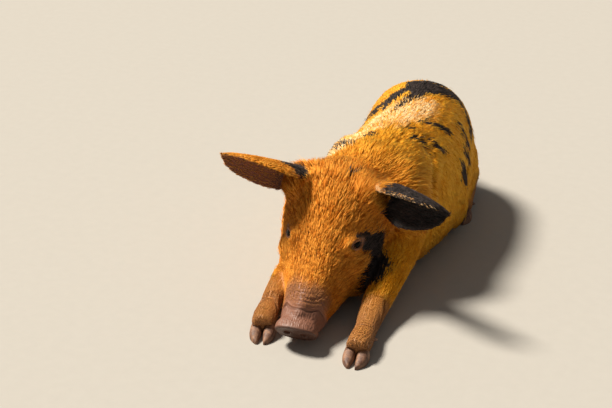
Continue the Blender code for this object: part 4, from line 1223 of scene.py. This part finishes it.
class PIGLET_OT_coat(bpy.types.Operator):
    """Lays a short coat of tufts over the skin"""

    bl_idname = "piglet.coat"
    bl_label = "Coat"

    # Tufts to a strand, the share of long bristles, and how far a marking's edge is drawn out along the lie
    STRAND, BRISTLES, DRAWN_OUT = 9, 0.016, 0.0035
    LOWEST_ROOT = 0.002

    def execute(self, context):
        chosen = settings("coat")
        rng = np.random.default_rng(SEED)
        mesh = bpy.data.objects["skin"].data
        places, directions = coordinates(mesh), normals(mesh)
        names = ("dark", "pale", "bare", "hollow", "shaded", "gold", "rough", "hair", "part")
        values = {name: read_attribute(mesh, name) for name in names}
        ways = read_attribute(mesh, "lie")
        hair = values["hair"]
        density = np.interp(hair, (0.0, 0.0015, 0.006, 0.014), (0.0, 1.1, 1.6, 1.0))
        density = density * (places[:, 2] > self.LOWEST_ROOT)
        density = density * (1 - 0.70 * values["hollow"]) * (1 - 0.50 * values["bare"])
        count = chosen.tufts // 1
        corners, shares = spread_roots(places, triangles_of(mesh), density, count, rng)
        roots = np.einsum("ij,ijk->ik", shares, places[corners])
        ups = unit(np.einsum("ij,ijk->ik", shares, directions[corners]))
        lies = unit(np.einsum("ij,ijk->ik", shares, ways[corners]))
        at_root = {name: (shares * column[corners]).sum(axis=1) for name, column in values.items()}
        streaked = roots + lies * rng.normal(0, self.DRAWN_OUT, count)[:, None]
        at_root["dark"] = np.maximum(at_root["dark"], marked(streaked, SPOTS))
        at_root["pale"] = np.maximum(at_root["pale"], marked(streaked, PALE))
        owners = values["part"][corners[np.arange(count), shares.argmax(axis=1)]].round().astype(int)
        rough, length = at_root["rough"], at_root["hair"]
        leader = strands(roots, lies, rng.choice(count, count // self.STRAND, replace=False))
        swirl = (0.06 + 0.16 * rough) * soft_noise(roots, 0.035, 21)
        swirl = swirl + (0.03 + 0.10 * rough) * soft_noise(roots, 0.012, 22)
        swirl = swirl + (0.05 + 0.08 * rough) * rng.normal(0, 1, count)[leader]
        swirl = swirl + (0.04 + 0.06 * rough) * rng.normal(0, 1, count)
        sides = np.cross(ups, lies)
        lies = unit(lies * np.cos(swirl)[:, None] + sides * np.sin(swirl)[:, None])
        offset = roots[leader] - roots
        gather = sides * (offset * sides).sum(axis=1)[:, None] * (0.50 + 0.30 * rough)[:, None]
        reaches = lies * (length * rng.uniform(0.70, 1.25, count))[:, None] + gather
        widths = chosen.width * np.interp(length, (0.003, 0.016), (0.55, 1.0)) * rng.uniform(0.7, 1.2, count)
        widths = widths * 1.0
        rises = 6 + 7 * rough + (2 + 2 * rough) * rng.normal(0, 1, count)
        bristle = (rng.random(count) < self.BRISTLES * (0.3 + rough)) & (length > 0.008)
        reaches[bristle] *= 1.5
        widths[bristle] *= 0.6
        rises[bristle] += 10
        shade = 0.50 + 0.16 * soft_noise(roots, 0.030, 31) + 0.12 * soft_noise(roots, 0.010, 32)
        # Painted shade: the coat of the legs is darkened as if shadowed
        shade = shade - 0.45 * at_root["shaded"]
        strand_shade = (0.15 + 0.11 * rough) * rng.normal(0, 1, count)[leader]
        shade = np.clip(shade + strand_shade + rng.normal(0, 0.15, count) + 0.4 * bristle, 0, 1)
        edge = (at_root["pale"] > 0.3) & (at_root["dark"] > 0.5)
        dark = (at_root["dark"] > rng.uniform(0.12, 0.88, count)) & ~(edge & (rng.random(count) < 0.28))
        bare = np.minimum(0.95, 1.15 * at_root["bare"])
        carried = {"dark": dark, "bare": bare, "shade": shade}
        carried.update({name: at_root[name] for name in ("pale", "gold")})
        finish = coat_material(shared_group())
        names = self.piece_names(roots, owners)
        for name in sorted(set(names)):
            mine = names == name
            patches = patches_of(roots[mine], owners[mine])
            made = tuft_mesh(name, roots[mine], ups[mine], reaches[mine], widths[mine], rises[mine],
                             {label: column[mine] for label, column in carried.items()}, patches)
            finish_piece(new_object(name, made), finish)
            print(name, mine.sum(), "tufts")
        return {"FINISHED"}

    def piece_names(self, roots, owners):
        """The coat piece that each root belongs to."""
        names = np.full(len(roots), "coat_torso_left", dtype="U24")
        side = np.where(roots[:, 0] > centre_of("torso").x, "_left", "_right")
        crown = into(HEAD, roots)[:, 1] > CROWN_BACK
        for piece, (nodes, halves) in COAT_PIECES.items():
            mine = np.isin(owners, [FLESH.index(node) for node in nodes])
            names[mine] = np.char.add(piece, side[mine]) if halves else piece
            if piece == "coat_face":
                names[mine & crown] = "coat_crown"
        return names


class PIGLET_OT_eyes(bpy.types.Operator):
    """Makes both eyeballs, each with its iris turned along its line of sight"""

    bl_idname = "piglet.eyes"
    bl_label = "Eyes"

    def execute(self, context):
        finish = eye_material()
        for side, node in EYES.items():
            deselect_all()
            bpy.ops.mesh.primitive_uv_sphere_add(segments=48, ring_count=32, radius=EYE_RADIUS)
            ball = context.object
            ball.name = ball.data.name = node.replace("eye", "eyeball")
            points = coordinates(ball.data)
            ahead = points[:, 2] / EYE_RADIUS
            write_attribute(ball.data, "from_pupil", np.arccos(np.clip(ahead, -1, 1)) / math.radians(62))
            cornea = smoothstep(math.cos(math.radians(44)), 1.0, ahead)
            place_vertices(ball.data, points * (1 + 0.06 * cornea)[:, None] * 0.985)
            ball.data.transform(eye_frame(side) @ rotation(math.pi / 2, "X"))
            ball.data.shade_smooth()
            finish_piece(ball, finish, (node,))
        self.add_lashes(settings("eyes").lash)
        return {"FINISHED"}

    def add_lashes(self, longest):
        """A row of lashes along each upper lid, and a few shorter ones along the lower."""
        rng = np.random.default_rng(SEED + 1)
        turns = np.radians(np.concatenate([rng.uniform(18, 162, 34), rng.uniform(205, 335, 12)]))
        roots, ups, reaches = [], [], []
        for side in EYES:
            rim = np.stack([np.cos(turns), np.zeros(len(turns)), np.sin(turns)], axis=1)
            rim = rim * 1.12 / 2 * [LID_WIDTH, 0, LID_HEIGHT]
            rim[:, 1] = -np.sqrt((EYE_RADIUS + LID_THICKNESS) ** 2 - rim[:, 0] ** 2 - rim[:, 2] ** 2)
            way = unit(rim * [1.4, 0, 1.6] + [0, -0.008, 0])
            length = longest * rng.uniform(0.6, 1.0, len(turns)) * np.where(np.sin(turns) > 0, 1.0, 0.55)
            roots.append(out_of(eye_frame(side), rim))
            reaches.append(turned(eye_frame(side), way) * length[:, None])
            ups.append(turned(eye_frame(side), unit(rim)))
        roots, ups, reaches = (np.concatenate(rows) for rows in (roots, ups, reaches))
        count = len(roots)
        values = {name: np.zeros(count) for name in ("pale", "bare", "gold")}
        values["dark"] = np.full(count, 0.55)
        values["shade"] = rng.uniform(0.2, 0.8, count)
        patches = np.stack([(np.arange(count) + 0.5) / count, np.full(count, 0.5)], axis=1)
        widths, rises = np.full(count, 0.0006), np.full(count, 4.0)
        made = tuft_mesh("coat_lashes", roots, ups, reaches, widths, rises, values, patches)
        finish_piece(new_object("coat_lashes", made), coat_material(shared_group()))


class PIGLET_OT_claws(bpy.types.Operator):
    """Rounds off every claw and gives it horn"""

    bl_idname = "piglet.claws"
    bl_label = "Claws"

    def execute(self, context):
        finish = claw_material()
        for node in CLAWS:
            claw = swollen_copy(node, 0.0)
            claw.name = claw.data.name = node + "_horn"
            heights = coordinates(claw.data)[:, 2]
            sole = (heights[edges_of(claw.data)] < 0.001).all(axis=1)
            crease = claw.data.attributes.new("crease_edge", "FLOAT", "EDGE")
            crease.data.foreach_set("value", np.where(sole, 0.6, 0.0).astype(np.float32))
            finer = claw.modifiers.new("Finer", "SUBSURF")
            finer.levels = finer.render_levels = 2
            apply_modifiers(claw)
            claw.data.shade_smooth()
            finish_piece(claw, finish, (node,))
        return {"FINISHED"}


class PIGLET_OT_stage(bpy.types.Operator):
    """Sets up the floor, the lights and the camera"""

    bl_idname = "piglet.stage"
    bl_label = "Stage"

    def execute(self, context):
        scene = context.scene
        chosen = settings("stage")
        deselect_all()
        bpy.ops.mesh.primitive_plane_add(size=60, location=(0, 0, 0))
        floor = context.object
        floor.name = "floor"
        floor.data.materials.append(floor_material())
        camera = bpy.data.objects.new("camera", bpy.data.cameras.new("camera"))
        scene.collection.objects.link(camera)
        camera.location = CAMERA_PLACE
        camera.rotation_euler = (CAMERA_TILT, 0, CAMERA_TURN)
        camera.data.lens, camera.data.sensor_width = LENS, SENSOR
        camera.data.clip_start = 0.05
        scene.camera = camera
        photo_right = Vector((math.cos(CAMERA_TURN), math.sin(CAMERA_TURN), 0))
        away = Vector((-math.sin(CAMERA_TURN), math.cos(CAMERA_TURN), 0))
        key = bpy.data.lights.new("key", "SUN")
        key.energy, key.angle, key.color = chosen.key, math.radians(14), (1.0, 0.93, 0.82)
        toward = -0.70 * photo_right + 0.30 * away + Vector((0, 0, 1.10))
        self.add_light(scene, key, toward)
        world = scene.world or bpy.data.worlds.new("world")
        scene.world = world
        world.use_nodes = True
        tree = world.node_tree
        sky = tree.nodes["Background"]
        feed(tree, sky, ("Color", (1.0, 0.97, 0.93, 1)), ("Strength", chosen.fill))
        seen = node_of(tree, "ShaderNodeBackground")
        feed(tree, seen, ("Color", rgba(chosen.backdrop)))
        choice, rays = node_of(tree, "ShaderNodeMixShader"), node_of(tree, "ShaderNodeLightPath")
        feed(tree, choice, ("Fac", rays.outputs["Is Camera Ray"]), (1, sky.outputs[0]), (2, seen.outputs[0]))
        tree.links.new(choice.outputs[0], tree.nodes["World Output"].inputs["Surface"])
        scene.view_settings.view_transform = "Standard"
        return {"FINISHED"}

    def add_light(self, scene, light, toward):
        lamp = bpy.data.objects.new(light.name, light)
        scene.collection.objects.link(lamp)
        lamp.rotation_mode = "QUATERNION"
        lamp.rotation_quaternion = toward.to_track_quat("Z", "Y")


class PIGLET_PT_panel(bpy.types.Panel):
    """Lists the piglet's pieces in the sidebar"""

    bl_idname = "PIGLET_PT_panel"
    bl_label = "Piglet"
    bl_space_type = "VIEW_3D"
    bl_region_type = "UI"
    bl_category = "Piglet"

    def draw(self, context):
        for operator, group in OPERATORS:
            box = self.layout.box()
            box.operator(operator.bl_idname)
            if group:
                for name in GROUPS[group].__annotations__:
                    box.prop(settings(group), name)


GROUPS = {
    "skin": SkinSettings,
    "coat": CoatSettings,
    "eyes": EyeSettings,
    "claws": ClawSettings,
    "stage": StageSettings,
}
OPERATORS = (
    (PIGLET_OT_stage, "stage"),
    (PIGLET_OT_skin, "skin"),
    (PIGLET_OT_coat, "coat"),
    (PIGLET_OT_eyes, "eyes"),
    (PIGLET_OT_claws, "claws"),
)


def register():
    for name, group in GROUPS.items():
        bpy.utils.register_class(group)
        setattr(bpy.types.Scene, "piglet_" + name, PointerProperty(type=group))
    for operator, _ in OPERATORS:
        bpy.utils.register_class(operator)
    bpy.utils.register_class(PIGLET_PT_panel)


def unregister():
    bpy.utils.unregister_class(PIGLET_PT_panel)
    for operator, _ in reversed(OPERATORS):
        bpy.utils.unregister_class(operator)
    for name, group in GROUPS.items():
        delattr(bpy.types.Scene, "piglet_" + name)
        bpy.utils.unregister_class(group)


def main():
    register()
    for operator, _ in OPERATORS:
        family, name = operator.bl_idname.split(".")
        getattr(getattr(bpy.ops, family), name)()


if __name__ == "__main__":
    main()
